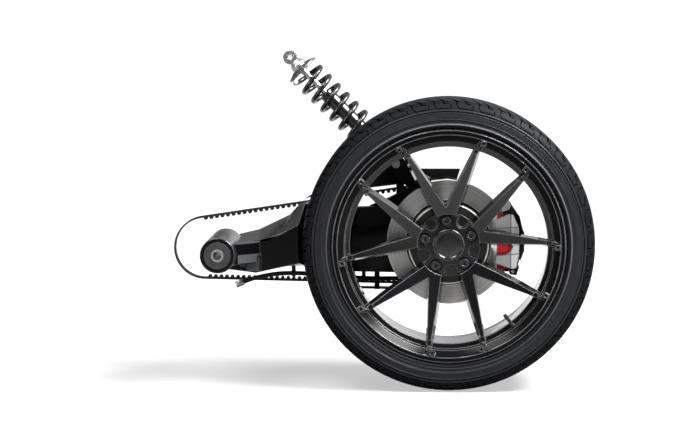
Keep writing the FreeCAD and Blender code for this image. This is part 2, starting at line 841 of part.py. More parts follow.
def make_caliper():
    body = on_axle("caliper_housing")
    outer = s.caliper_outer
    px = s.piston_x
    pz = s.piston_z
    room = s.piston_radius + 1.5
    face = s.finger_face
    gap = s.disc_radius + 6.5
    high = [(outer - 15, 70), (outer - 2, 41), (outer, 4)]
    low = [(outer - 0.5, -28), (outer - 7.5, -58), (outer - 17.5, -60)]
    extruded(body, "fingers", outline(
        [(outer - 61, 56), (outer - 26, 71)] + high + low
        + [(outer - 57.5, -46), (outer - 55, -27), (outer - 55, 35.5)]), -face, -face + 15.5)
    extruded(body, "finger_gap", outline([
        (px - 40, pz - room), (px, pz - room), (px, pz + room), (px - 40, pz + room + 4)]),
        -face - 5, -face + 16, cut=True)
    extruded(body, "piston_room", circle(px, pz, room), -face - 5, -face + 16, cut=True)
    extruded(body, "bridge", outline(
        [(outer - 27, 70)] + high + low
        + [(gap - 5, -50), (gap, -10), (gap, 10), (gap - 5, 48)]), -face + 15.4, 0)
    extruded(body, "inboard", outline(
        [(outer - 60, 50), (outer - 27, 70)] + high + low + [(outer - 60, -46)]), -0.1, 18)
    extruded(body, "cylinder", circle(px + 2, pz + 1, s.piston_radius + 4), 17.9, 52)
    bracket = on_axle("caliper_bracket")

    def plate(sketch):
        draw_outline(sketch, [
            (20, 84), (60, 78), (122, 82), (outer - 18, 84), (outer + 4, 58), (outer + 12, 26),
            (outer + 12, -18), (outer, -62), (outer - 22, -76), (60, -76), (20, -84),
            (-50, -60), (-84, 0), (-50, 60)])
        draw_circle(sketch, 0, 0, s.carrier_radius)
        draw_circle(sketch, px + 2, pz + 1, s.piston_radius + 6)
    extruded(bracket, "plate", plate, 21.3, 31)
    extruded(bracket, "upper_leg", outline([
        (outer - 37, 82), (outer - 35, 96), (outer - 19, 93), (outer - 14, 84), (outer - 4, 70),
        (outer - 9, 72), (outer - 22, 73)]), -60, 21.4)
    extruded(bracket, "lower_leg", outline([
        (outer - 24, -62.5), (outer - 10, -62.5), (outer, -56), (outer - 6, -76),
        (outer - 22, -74)]), -60, 21.4)
    extruded(bracket, "rear_leg", outline([
        (outer + 2.5, 44), (outer + 12, 26), (outer + 12, -18), (outer + 2.5, -42)]), -60, 21.4)
    pads = on_axle("brake_pads")
    backing = [
        (104, 60), (112, 70), (134, 71), (139, 62), (147, 45), (151, 20), (151, -16),
        (145, -46), (140, -58), (132, -64), (112, -58), (106, -44), (110, 4)]
    friction = [
        (108, 40), (138, 46), (146, 20), (146, -14), (138, -42), (110, -38)]
    front = -s.disc_face
    back = front + s.disc_thick
    extruded(pads, "piston_face", circle(px, pz, s.piston_radius), front - 20, front - 15.9)
    extruded(pads, "outer_backing", outline(backing), front - 16.2, front - 10)
    extruded(pads, "outer_lining", outline(friction), front - 10.1, front - 0.3)
    extruded(pads, "inner_lining", outline(friction), back + 0.3, back + 10)
    extruded(pads, "inner_backing", outline(backing), back + 9.9, back + 15.6)


def make_belt():
    body = new_body("drive_belt")
    rear = (s.axle_x, s.axle_z)
    front = (s.front_x, s.front_z)
    gap = math.hypot(float(s.axle_x) - float(s.front_x), float(s.axle_z) - float(s.front_z))
    lean = math.atan2(float(s.axle_z) - float(s.front_z), float(s.axle_x) - float(s.front_x))
    spread = math.asin((float(s.belt_back) - float(s.front_back)) / gap)

    def loop(sketch, inset):
        big = float(s.belt_back) - float(inset)
        small = float(s.front_back) - float(inset)
        first = sketch.GeometryCount
        top = lean + spread + math.pi / 2
        low = lean - spread - math.pi / 2
        rx, rz = float(rear[0]), float(rear[1])
        fx, fz = float(front[0]), float(front[1])
        spots = [
            V(rx + big * math.cos(top), rz + big * math.sin(top), 0),
            V(fx + small * math.cos(top), fz + small * math.sin(top), 0),
            V(fx + small * math.cos(low), fz + small * math.sin(low), 0),
            V(rx + big * math.cos(low), rz + big * math.sin(low), 0)]
        up = V(0, 0, 1)
        sketch.addGeometry(Part.LineSegment(spots[0], spots[1]), False)
        sketch.addGeometry(Part.ArcOfCircle(
            Part.Circle(V(fx, fz, 0), up, small), top, low + 2 * math.pi), False)
        sketch.addGeometry(Part.LineSegment(spots[2], spots[3]), False)
        sketch.addGeometry(Part.ArcOfCircle(
            Part.Circle(V(rx, rz, 0), up, big), low, top), False)
        join = Sketcher.Constraint
        sketch.addConstraint(join("Tangent", first, 2, first + 1, 1))
        sketch.addConstraint(join("Tangent", first + 1, 2, first + 2, 1))
        sketch.addConstraint(join("Tangent", first + 2, 2, first + 3, 1))
        sketch.addConstraint(join("Tangent", first + 3, 2, first, 1))
        pin(sketch, first + 1, 3, front)
        pin(sketch, first + 3, 3, rear)
        for shape, number in ((1, s.front_back - inset), (3, s.belt_back - inset)):
            mark = sketch.addConstraint(join("Radius", first + shape, number.value))
            sketch.setExpression("Constraints[%d]" % mark, number.formula)
        return spots

    near = s.belt_middle - s.belt_width / 2
    far = s.belt_middle + s.belt_width / 2
    spots = []

    def band(sketch):
        loop(sketch, Size(0))
        spots.extend(loop(sketch, s.belt_band))
    extruded(body, "band", band, near, far)
    for name, start, end in (("upper", spots[1], spots[0]), ("lower", spots[2], spots[3])):
        along = (end - start).normalize()
        inward = V(along.y, -along.x, 0) if name == "upper" else V(-along.y, along.x, 0)
        sketch = sketch_on(body, name + "_tooth_outline", "XZ_Plane", -far)
        at = start + along * 12
        shape = [at - along * 5 - inward * 0.1, at + along * 5 - inward * 0.1,
                 at + along * 3 + inward * 6, at - along * 3 + inward * 6]
        draw_outline(sketch, [(p.x, p.y) for p in shape])
        axis = sketch.addGeometry(Part.LineSegment(start, end), True)
        pin(sketch, axis, 1, (start.x, start.y))
        pin(sketch, axis, 2, (end.x, end.y))
        tooth = body.newObject("PartDesign::Pad", name + "_tooth")
        tooth.Profile = sketch
        bind(tooth, "Length", s.belt_width)
        row = body.newObject("PartDesign::LinearPattern", name + "_teeth")
        row.Originals = [tooth]
        row.Direction = (sketch, ["Axis0"])
        bind(row, "Length", s.belt_pitch * 38)
        row.Occurrences = 39
        body.Tip = row


def make_guards():
    ax = s.axle_x
    az = s.axle_z
    clear = s.belt_back + s.guard_clear
    tab = s.arm_outer + 0.3
    sheet_y = s.guard_y + s.guard_sheet
    edge = [
        (ax * 0.375, az + 88), (ax * 0.55, az + 104), (ax - 200, az + 112),
        (ax - 179, az + 114.5), (ax - 93, az + 125), (ax, az + clear - 0.5),
        (ax + 24, az + clear - 4)]
    upper = new_body("upper_belt_guard")
    extruded(upper, "shield", outline(
        [(187, az + 82.5)] + edge + [
            (ax + 32, az + 159), (ax - 141, az + 159), (ax - 153, az + 180),
            (ax - 200, az + 180), (ax * 0.48, az + 122), (ax * 0.375, az + 93)]),
        s.guard_y, sheet_y)
    extruded(upper, "shelf", outline(
        edge + [(x, z + s.guard_sheet) for x, z in edge[::-1]]), tab, sheet_y)
    extruded(upper, "front_tab", outline([
        (226, 60), (250, 60), (250, az + 96), (226, az + 93)]), tab, tab + s.guard_sheet)
    extruded(upper, "rear_tab", outline([
        (ax - 127, az + 83), (ax - 107, az + 83), (ax - 107, az + 124.8),
        (ax - 127, az + 122.4)]), tab, tab + s.guard_sheet)
    lower = new_body("lower_belt_guard")
    extruded(lower, "floor", outline([
        (214, -110), (ax * 0.68, -111), (ax - 75, -113.5), (ax - 75, -117.5),
        (ax * 0.68, -115), (214, -113)]), tab, sheet_y)
    extruded(lower, "strap", outline([
        (ax * 0.68 - 6.5, -116), (ax * 0.68 + 6.5, -116), (ax * 0.68 + 6.5, s.side_low + 11),
        (ax * 0.68 - 6.5, s.side_low + 11)]), tab, tab + s.guard_sheet)
    bolts = new_body("guard_bolts")
    spots = ((238, 71), (ax - 117, az + 92), (ax * 0.68, s.side_low + 6.5))
    for i, (x, z) in enumerate(spots):
        extruded(bolts, "bolt%d" % i, circle(x, z, 5.5), tab + s.guard_sheet + 0.3,
                 tab + s.guard_sheet + 4)


def shock_body_at(name):
    body = new_body(name, s.shock_x, s.shock_y, s.shock_z)
    body.Placement.Rotation = FreeCAD.Rotation(V(0, 1, 0), -float(s.shock_tilt))
    return body


def make_shock():
    clevis = new_body("shock_clevis")
    sx = s.shock_x
    sz = s.shock_z
    sy = s.shock_y
    shelf = s.shock_shelf + 0.3
    half = s.eye_width / 2
    reach = [(sx - 19.5, sz - 12), (sx - 13.5, sz + 12), (sx, sz + 19), (sx + 13.5, sz + 15)]
    base = [(sx + 29, shelf), (sx + 87, shelf)]
    ledge = shelf + 19

    def ear(points):
        def draw(sketch):
            draw_outline(sketch, points)
            draw_circle(sketch, sx, sz, s.eye_bore)
        return draw
    extruded(clevis, "base", outline(
        base + [(sx + 87, ledge), (sx + 72, ledge + 9), (sx + 24, ledge + 9), (sx + 24, ledge)]),
        s.arm_inner + 3, s.arm_outer)
    extruded(clevis, "ledge", outline([
        (sx + 6, ledge), (sx + 87, ledge), (sx + 72, ledge + 9), (sx + 3, ledge + 9)]),
        sy - half - 7, sy + half + 7)
    extruded(clevis, "near_ear", ear(
        reach + [(sx + 87, ledge), (sx + 87, shelf), (sx + 29, shelf), (sx + 6, ledge)]),
        sy - half - 7, sy - half - 1)
    extruded(clevis, "far_ear", ear(reach + [(sx + 87, ledge), (sx + 6, ledge)]),
             sy + half + 1, sy + half + 7)
    bolt = new_body("shock_lower_bolt")
    extruded(bolt, "shank", circle(sx, sz, s.eye_bore - 0.3), sy - half - 15, sy + half + 17)
    extruded(bolt, "head", circle(sx, sz, 10), sy - half - 15, sy - half - 7.3)
    extruded(bolt, "nut", circle(sx, sz, 10), sy + half + 7.3, sy + half + 17)
    damper = shock_body_at("damper_body")
    extruded(damper, "eye", circle(0, 0, s.eye_outer), -half, half)
    turned(damper, "tube", [
        (0, 12), (12, 12), (12, 94), (s.damper_radius, 96), (s.damper_radius, 246), (9, 250),
        (0, 250)], plane="XZ_Plane")
    extruded(damper, "eye_bore", circle(0, 0, s.eye_tube + 0.3), -half - 5, half + 5, cut=True)
    boot = shock_body_at("bump_boot")
    ribs = [(12.3, 28), (16, 28)]
    level = 30
    while level < 92:
        ribs += [(s.damper_radius, level), (s.damper_radius, level + 4), (15.5, level + 6)]
        level += 8
    turned(boot, "boot", ribs + [(12.3, 93.7)], plane="XZ_Plane")
    seat = shock_body_at("lower_spring_seat")
    turned(seat, "seat", [
        (s.damper_radius + 0.3, s.seat_low - 12), (27, s.seat_low - 12), (27, s.seat_low),
        (s.coil_radius + 7, s.seat_low), (s.coil_radius + 7, s.seat_low + 6),
        (28, s.seat_low + 6), (28, s.seat_low + 14), (s.damper_radius + 0.3, s.seat_low + 14)],
        plane="XZ_Plane")
    top = shock_body_at("upper_spring_seat")
    turned(top, "seat", [
        (9.3, s.seat_high), (s.coil_radius + 7, s.seat_high), (s.coil_radius + 7, s.seat_high + 4),
        (24, s.seat_high + 12), (9.3, s.seat_high + 12)], plane="XZ_Plane")
    rod = shock_body_at("damper_rod")
    turned(rod, "rod", [
        (0, 250.3), (7, 250.3), (7, s.seat_high - 6), (9, s.seat_high - 6), (9, s.seat_high + 12.3),
        (20, s.seat_high + 12.3), (20, s.seat_high + 20), (12, s.shock_length - 12),
        (0, s.shock_length - 12)], plane="XZ_Plane")
    extruded(rod, "eye", circle(0, s.shock_length, s.eye_outer), -half, half)
    extruded(rod, "eye_bore", circle(0, s.shock_length, s.eye_tube + 0.3),
             -half - 5, half + 5, cut=True)
    bushes = shock_body_at("shock_eye_sleeves")

    def ring(height):
        def draw(sketch):
            draw_circle(sketch, 0, height, s.eye_tube)
            draw_circle(sketch, 0, height, s.eye_bore)
        return draw
    extruded(bushes, "lower", ring(0), -half - 0.8, half + 0.8)
    extruded(bushes, "upper", ring(s.shock_length), -half - 0.8, half + 0.8)
    path = doc.addObject("Part::Helix", "spring_path")
    bind(path, "Pitch", s.coil_pitch)
    bind(path, "Height", s.seat_high - s.seat_low - 6 - 2 * s.wire_radius - 0.6)
    bind(path, "Radius", s.coil_radius)
    wire = doc.addObject("Part::Circle", "spring_wire")
    bind(wire, "Radius", s.wire_radius)
    wire.Placement = FreeCAD.Placement(V(float(s.coil_radius), 0, 0), FreeCAD.Rotation(V(1, 0, 0), 90))
    spring = doc.addObject("Part::Sweep", "shock_spring")
    spring.Label = "shock_spring"
    spring.Sections = [wire]
    spring.Spine = (path, ["Edge1"])
    spring.Solid = True
    spring.Frenet = True
    rise = s.seat_low + 6 + s.wire_radius + 0.3
    spring.Placement.Rotation = FreeCAD.Rotation(V(0, 1, 0), -float(s.shock_tilt))
    place(spring, s.shock_x - rise * sin(s.shock_tilt), s.shock_y,
          s.shock_z + rise * cos(s.shock_tilt))
    NODES.append(spring)


def make_hose():
    tube = doc.addObject("Part::Feature", "brake_hose")
    tube.Label = "brake_hose"
    ax = float(s.axle_x)
    az = float(s.axle_z)
    low = float(s.side_low)
    inlet = ax + float(s.piston_x) + 7
    side = float(s.arm_inner + s.arm_outer) / 2 + 1
    spots = [V(*p) for p in (
        (inlet, 52.3, az + 4), (inlet, 100, az - 4), (ax + 122, 146, az - 66),
        (ax + 93, side - 4, low - 10), (ax + 45, side, low - 14), (ax - 25, side, low - 14),
        (ax - 105, side, low - 16), (ax - 185, side, low - 17), (270, side, low - 13),
        (187, side, low - 4), (120, side, low - 5), (60, side, low - 18), (20, side - 4, -104))]
    edges = []
    last = spots[0]
    for i in range(1, len(spots) - 1):
        before = (spots[i - 1] - spots[i]).normalize()
        after = (spots[i + 1] - spots[i]).normalize()
        turn = math.pi - before.getAngle(after)
        run = min((spots[i] - spots[i - 1]).Length, (spots[i + 1] - spots[i]).Length) * 0.45
        if turn < 0.002:
            continue
        radius = run / math.tan(turn / 2)
        enter = spots[i] + before * run
        leave = spots[i] + after * run
        middle = (before + after).normalize()
        top = spots[i] + middle * (radius / math.cos(turn / 2) - radius)
        edges.append(Part.LineSegment(last, enter).toShape())
        edges.append(Part.Arc(enter, top, leave).toShape())
        last = leave
    edges.append(Part.LineSegment(last, spots[-1]).toShape())
    path = Part.Wire(edges)
    ring = Part.Wire([Part.Circle(spots[0], spots[1] - spots[0], 5.5).toShape()])
    tube.Shape = path.makePipeShell([ring], True, True)
    NODES.append(tube)
    clips = new_body("hose_clips")
    middle = (s.arm_inner + s.arm_outer) / 2 + 1
    for i, (x, z, top) in enumerate((
            (s.axle_x * 0.3, s.side_low - 4, s.side_low + 14.8),
            (s.axle_x * 0.62, s.side_low - 15.8, s.side_low + 1.2),
            (s.axle_x + 10, s.side_low - 14, s.axle_z - s.eye_radius - 0.3))):
        clip = sketch_on(clips, "clip%d_outline" % i, "YZ_Plane", x - 5)
        draw_circle(clip, middle, z, 8.2)
        draw_circle(clip, middle, z, 6)
        band = clips.newObject("PartDesign::Pad", "clip%d" % i)
        band.Profile = clip
        band.Length = 10
        extruded(clips, "tab%d" % i, outline([
            (x - 5, z + 7), (x + 5, z + 7), (x + 5, top), (x - 5, top)]),
            middle - 2, middle + 2)


make_tyre()
make_rim()
make_cap()
make_nuts()
make_hub()
make_studs()
make_disc()
make_sprocket()
make_drive_flange()
make_sprocket_bolts()
make_axle_nut()
make_valve()
make_weights()
make_arm()
make_pivot()
make_carrier()
make_pinch_bolts()
make_caliper()
make_belt()
make_guards()
make_shock()
make_hose()

doc.recompute()
for thing in doc.Objects:
    if "Invalid" in thing.State or "Error" in thing.State:
        raise RuntimeError("%s did not build: %s" % (thing.Name, thing.State))
os.makedirs("parts", exist_ok=True)
for node in NODES:
    if node.Shape.isNull() or not node.Shape.isValid():
        raise RuntimeError(node.Label + " has no valid shape")
    print("%-20s solids %d volume %.0f" % (node.Label, len(node.Shape.Solids), node.Shape.Volume))
    node.Shape.exportStep("parts/%s.step" % node.Label)
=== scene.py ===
"""Rear wheel and swingarm unit of a three-wheeled roadster, dressed for a studio view."""
import bpy
import bmesh
import json
import math
from mathutils import Euler, Matrix, Vector

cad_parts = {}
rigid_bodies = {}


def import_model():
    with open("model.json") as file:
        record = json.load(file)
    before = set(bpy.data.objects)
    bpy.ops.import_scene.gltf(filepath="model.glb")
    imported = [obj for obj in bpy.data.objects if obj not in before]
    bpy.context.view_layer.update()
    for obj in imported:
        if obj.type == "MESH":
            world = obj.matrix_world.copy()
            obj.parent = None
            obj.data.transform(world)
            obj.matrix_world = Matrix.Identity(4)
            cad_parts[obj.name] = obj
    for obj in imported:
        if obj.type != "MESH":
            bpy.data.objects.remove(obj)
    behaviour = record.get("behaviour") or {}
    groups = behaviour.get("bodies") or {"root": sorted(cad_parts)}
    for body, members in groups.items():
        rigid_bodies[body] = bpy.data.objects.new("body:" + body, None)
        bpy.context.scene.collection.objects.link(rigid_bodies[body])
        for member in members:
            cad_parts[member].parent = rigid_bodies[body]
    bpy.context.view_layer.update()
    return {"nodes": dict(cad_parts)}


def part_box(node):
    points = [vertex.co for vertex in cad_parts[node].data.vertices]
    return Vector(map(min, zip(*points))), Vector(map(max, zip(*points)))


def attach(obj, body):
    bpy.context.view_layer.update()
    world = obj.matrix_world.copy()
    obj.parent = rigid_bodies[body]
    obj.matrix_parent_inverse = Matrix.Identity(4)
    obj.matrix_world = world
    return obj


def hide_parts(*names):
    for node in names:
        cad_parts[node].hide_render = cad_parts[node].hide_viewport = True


bl_info = {
    "name": "Rear Wheel Unit",
    "version": (1, 0, 0),
    "blender": (4, 5, 0),
    "location": "View3D > Sidebar > Rear Unit",
    "description": "Dresses the rear wheel, swingarm, belt drive and shock absorber",
    "category": "Object",
}

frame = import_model()
NODES = frame["nodes"]
HUB_LOW, HUB_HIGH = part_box("wheel_hub")
AXLE = (HUB_LOW + HUB_HIGH) / 2
AXLE.y = 0.0
TYRE_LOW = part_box("tyre")[0]
MM = 0.001
TURN = 2 * math.pi
SAME_PLACE = 1e-6

# Colours that more than one finish uses.
WHITE = (1, 1, 1, 1)
DEEP_BLACK = (0.001, 0.001, 0.001, 1)
DARK_GREY = (0.006, 0.006, 0.006, 1)
BLUE_BLACK = (0.006, 0.006, 0.007, 1)

# Places in the tyre's finish, as radii in metres: from, to and, for rings, pitch and fade.
TREAD_EDGE = (0.316, 0.319)
# The rib's band takes a painted highlight.
RIM_RIB_HIGHLIGHT = (0.2864, 0.2884)
SIDE_RINGS = ((0.288, 0.3015, 0.0031, 0.002), (0.3135, 0.322, 0.0022, 0.001))

# Places in the brake disc's finish, as radii in metres: from and to.
SWEPT_RING = (0.103, 0.2)
# Two thin rings painted near-white as a painted highlight.
HIGHLIGHT_ARCS = ((0.0930, 0.0958), (0.1016, 0.1036))

# The grey block on the arm's near face, in metres along X, Z and Y.
ARM_BLOCK_LENGTH = (0.047, 0.0975)
ARM_BLOCK_HEIGHT = (-0.0445, -0.002)
ARM_BLOCK_FACE = (-0.02, -0.018)

# Where the pads' near-white strip ends and the caliper's machined facet starts, in metres along X.
PALE_STRIP_END = (0.6592, 0.6606)
FACET_START = (0.6925, 0.6945)
FACET_LINE = (0.6917, 0.6931)

# The joint lines across the caliper: height at its middle, in metres, and slope.
CALIPER_MIDDLE = 0.69
JOINT_LINES = ((0.0628, 0.05), (-0.0012, 0.08))
JOINT_WIDTH = 0.0016

# The tyre's section in mm, as distance from the middle plane and radius: the crown from its
# middle down the shoulder, the side on to the rim, and the lining from the bead back up.
CREST = 345.5
CROWN = [
    (0.0, CREST), (45.0, CREST), (82.0, 345.4), (100.0, 344.8), (114.0, 343.9),
    (124.0, 342.6), (130.5, 341.0), (136.0, 337.8), (140.4, 333.6), (144.2, 328.4),
    (147.0, 322.6), (148.6, 317.0), (150.0, 310.5), (151.0, 303.8),
]
SIDE = [
    (151.0, 299.4), (151.7, 298.8), (151.7, 298.0), (151.0, 297.4), (150.3, 291.5),
    (150.2, 289.5), (152.4, 287.4), (152.6, 284.2), (151.6, 281.2), (149.3, 278.6),
    (147.6, 277.2), (144.2, 277.2), (142.6, 275.2), (139.0, 258.4), (135.0, 254.6),
    (120.0, 254.6),
]
LINING = [(134, 283), (141, 307), (120, 323), (82, 329.5), (0, 330)]

# The tread in mm: distances from the middle are taken along its surface.
TREAD_STEPS = [(0, 128, 10), (133, 155, 5)]
SHOULDER_STEPS = [156.4, 156.9, 160.6, 161.4, 163.2, 164.0, 164.8, 165.3, 165.9, 166.4, 170,
                  173, 176]
# The shoulder's rings, sunk or raised: distance and depth.
SHOULDER_RINGS = {161.4: 1.6, 163.2: 1.6, 165.3: -0.6, 165.9: -0.6}
TYRE_TURNS = 216
SUNK_CARCASS = 0.9
SUNK_BLOCK = 0.6
GROOVED_ABOVE = 312
# Each groove's middle line: distance from the middle and place round the tyre.
MAIN_GROOVE = [(86, -2), (100, 3), (133, 18), (146, 18), (153, 24), (156, 24)]
SIDE_GROOVE = [(86, 25), (100, 29.5), (134, 41), (156, 41)]
HOOK_END = [(0, 53.5)]
TICK = [(0, 58.0)]
# How far the grooves keep their full depth, and their depths beyond.
DEEP_REACH = 131
SHALLOW_GROOVES = [(140, 2.8), (156, 2.0), (157, 0)]
# Half widths of the grooves, then how far a block goes on below their floor and spreads.
WIDE_GAP, OPEN_GAP, THIN_GAP = 3.3, 2.4, 1.5
HOOK_GAP, SHORT_HOOK_GAP = 12.0, 10.0
BLOCK_ROOT = 0.8
BLOCK_SPLAY = 0.5
# The two ribs beside the middle one: reach, lean, sipe as a share of a pitch, and gaps.
RIB_REACH = (30, 79)
RIB_LEAN, RIB_SLOPE = 8, 0.34
RIB_SIPE, SIPE_HALF, RIB_GAP = 0.46, 0.6, 2.2
MIDDLE_REACH, MIDDLE_SLOPE, MIDDLE_GAP = 22, 0.3, 1.6

# Where the tyre's painted shade by the rim and the rim's painted shade on its lip and well lie, in
# mm: radius and distance from the middle plane.
BEAD_TOP = 285
BEAD_DEPTH = 130
LIP_RADII = (263, 277)
LIP_DEPTH = 140
WELL_RADII = (246.5, 277)
WELL_DEPTHS = (130, 149.6)

# Widths of the rounded edges, in mm.
RIM_EDGE_WIDTH = 1.4
ARM_EDGE_WIDTH = 2.6
CALIPER_EDGE_WIDTH = 1.1
EDGE_ANGLE = math.radians(32)
FLAT_ANGLE = math.radians(0.6)
SHORT_EDGE = 0.45

# The centre cap: share of its radius, and depth behind its face or before its back in mm.
CAP_FRONT = [
    (0, 2.0), (0.35, 1.9), (0.6, 2.3), (0.74, 3.0), (0.77, 2.2), (0.8, 0.6), (0.88, 0.0),
    (0.95, 0.7), (0.99, 2.4), (1, 4.5),
]
CAP_BACK = [(1, 2.4), (0.9, 2.3), (0.88, 0), (0, 0)]
CAP_TURNS = 72

# Bolt heads: how many sides, shares of radius and height, and turn at most.
HEX_SIDES, ROUND_SIDES = 6, 20
HEAD = [(1, 0), (1, 0.82), (0.86, 1)]
SOCKET = [(0.55, 1), (0.5, 0.35)]
FURTHEST_TURN = 6.283

# Fittings in mm. Points are in the frame, but the pad tab's outline is about the axle.
PAD_PINS = [(681, -60, 111), (698, -60, -42)]
PAD_PIN_HEAD = (4.2, 3.4)
SLIDE_PINS = [(685, 31, 102), (685, 31, -42)]
SLIDE_PIN_HEAD = (6.5, 5.5)
PAD_TAB = [(142, 105), (149.6, 92.2), (142.8, 80.5), (124, 75), (130, 91)]
PAD_TAB_FACES = (-62.2, -59.8)
PAD_TAB_BEVEL = 0.6
HOSE_INLET = (678, 52, 29)
HOSE_NUT = (9.5, 6.8)
HOSE_FERRULE = [(5.2, 6.5), (7.9, 6.5), (8.3, 7.5), (8.3, 17), (7.6, 18.5), (5.2, 18.5)]
HOSE_FRONT, HOSE_FRONT_RUN = (20, 180, -104), (40, 4, 16)
HOSE_FRONT_END = [(5.2, -0.4), (7.4, -0.4), (7.9, 0.6), (7.9, 19), (7.2, 20.5), (5.2, 20.5)]
NIPPLE_SEAT = (660, 52, 39)
NIPPLE = [
    (0, -1), (4.6, -1), (4.6, 4), (3.2, 4.4), (3.2, 9), (2.2, 9.6), (2.2, 12.5), (3.0, 13.4),
    (2.4, 16.6), (0, 17),
]
COLLAR = [(18.8, 3.2), (26.5, 3.2), (27.5, 4.2), (27.5, 10.2), (26.5, 11.2), (18.8, 11.2)]
COLLAR_TEETH = 9
SHOCK_RUN = (1, 0, -1)
COLLAR_TOOTH_HALF = 4.2
COLLAR_TOOTH = ((26, 3.4, 11.0), (31, 3.9, 10.5))

# The studio, in metres: each lamp with its place, width, height and power setting.
LAMPS = (
    ("key_light", (-0.9, -1.6, 3.4), 2.4, 1.2, "key_power"),
    ("left_strip", (-2.6, -2.0, 0.7), 0.3, 2.2, "fill_power"),
    ("right_strip", (3.3, -2.2, 0.9), 0.3, 2.2, "fill_power"),
    ("tread_light", (2.3, -0.75, 2.5), 2.0, 1.3, "tread_power"),
)
# The sky across and from front to back: from and to a direction, and its light at both.
SKY_FADES = ((-0.16, 0.14, 0.22, 1.0), (-0.25, 0.35, 0.16, 0.95))
FLOOR_GREY = (0.2, 0.2, 0.2, 1)
FLOOR_CORNERS = ((-30, -12), (30, -12), (30, 60), (-30, 60))
FLOOR_GAP = 0.0002
# The floor's glow, by distance from under the wheel and, in the paint, by depth: as above.
FLOOR_FADE = (0.7, 2.3, 0.5, 1.0)
FLOOR_MIRRORED = (0.3, 1.2, 0.0, 0.85)
UNDER_WHEEL = (AXLE.x - 0.1, 0.1, TYRE_LOW.z)
CAMERA_PLACE = (0.4783, -5.65, 0.566)
CAMERA_TILT = math.radians(85.25)
CAMERA_TURN = math.radians(2.02)
SENSOR_WIDTH = 36
CAMERA_REACH = 200


class TyreSettings(bpy.types.PropertyGroup):
    """Sizes and colour of the tyre."""
    pitches: bpy.props.IntProperty(
        name="Tread pitches", description="Times the tread pattern repeats round the tyre",
        default=40, min=20, max=80)
    groove_depth: bpy.props.FloatProperty(
        name="Groove depth", description="Depth of the tread grooves", default=7.5 * MM,
        subtype="DISTANCE", unit="LENGTH")
    rubber: bpy.props.FloatVectorProperty(
        name="Rubber", description="Colour of the tyre rubber", size=4,
        default=(0.006, 0.0064, 0.0076, 1), subtype="COLOR")


class FinishSettings(bpy.types.PropertyGroup):
    """Colours of the painted and bare metals."""
    paint: bpy.props.FloatVectorProperty(
        name="Gloss paint", description="Colour of the rim paint", size=4,
        default=(0.003, 0.003, 0.0034, 1), subtype="COLOR")
    powder: bpy.props.FloatVectorProperty(
        name="Powder coat", description="Colour of the swingarm coat", size=4,
        default=(0.002, 0.002, 0.0023, 1), subtype="COLOR")
    pad_red: bpy.props.FloatVectorProperty(
        name="Pad paint", description="Colour of the pad backing plates", size=4,
        default=(0.52, 0.009, 0.014, 1), subtype="COLOR")
    alloy: bpy.props.FloatVectorProperty(
        name="Cast alloy", description="Colour of the caliper casting", size=4,
        default=(0.54, 0.545, 0.54, 1), subtype="COLOR")
    iron: bpy.props.FloatVectorProperty(
        name="Disc iron", description="Colour of the swept brake disc", size=4,
        default=(0.5, 0.5, 0.49, 1), subtype="COLOR")


class StudioSettings(bpy.types.PropertyGroup):
    """Camera and light of the studio."""
    focal: bpy.props.FloatProperty(
        name="Focal length", description="Lens length in millimetres", default=125.87)
    key_power: bpy.props.FloatProperty(
        name="Key light", description="Power of the large soft light", default=190,
        subtype="POWER", unit="POWER")
    fill_power: bpy.props.FloatProperty(
        name="Strip lights", description="Power of each upright strip light", default=75,
        subtype="POWER", unit="POWER")
    tread_power: bpy.props.FloatProperty(
        name="Tread light", description="Power of the light over the tread", default=600,
        subtype="POWER", unit="POWER")


def tyre_set():
    """The tyre's settings."""
    return bpy.context.scene.rear_unit_tyre


def finish_set():
    """The colours that the user can change."""
    return bpy.context.scene.rear_unit_finish


def studio_set():
    """The studio's settings."""
    return bpy.context.scene.rear_unit_studio


class Wiring:
    """A node tree, written with one call a node."""

    def __init__(self, tree):
        self.tree = tree

    def plug(self, socket, value):
        """Link a socket, or give it a plain value; None leaves it alone."""
        if isinstance(value, bpy.types.NodeSocket):
            self.tree.links.new(value, socket)
        elif value is not None:
            socket.default_value = value

    def node(self, kind, *plugs, **props):
        """A node with its inputs in order; a kind without a family is a shader node."""
        family = "" if "Node" in kind else "ShaderNode"
        made = self.tree.nodes.new(family + kind)
        for key, value in props.items():
            setattr(made, key, value)
        for socket, value in zip(made.inputs, plugs):
            self.plug(socket, value)
        return made

    def wire(self, made, **plugs):
        """Plug a node's inputs by their names."""
        for name, value in plugs.items():
            self.plug(made.inputs[name], value)
        return made

    def maths(self, kind, *values):
        return self.node("Math", *values, operation=kind).outputs[0]

    def span(self, value, low, high, start=0.0, end=1.0, kind="LINEAR"):
        """The value carried from one range to another."""
        made = self.node("MapRange", value, low, high, start, end, interpolation_type=kind)
        return made.outputs[0]

    def spot(self):
        return self.node("TexCoord").outputs["Object"]

    def axes(self):
        return self.node("SeparateXYZ", self.spot()).outputs


FINISH = {}


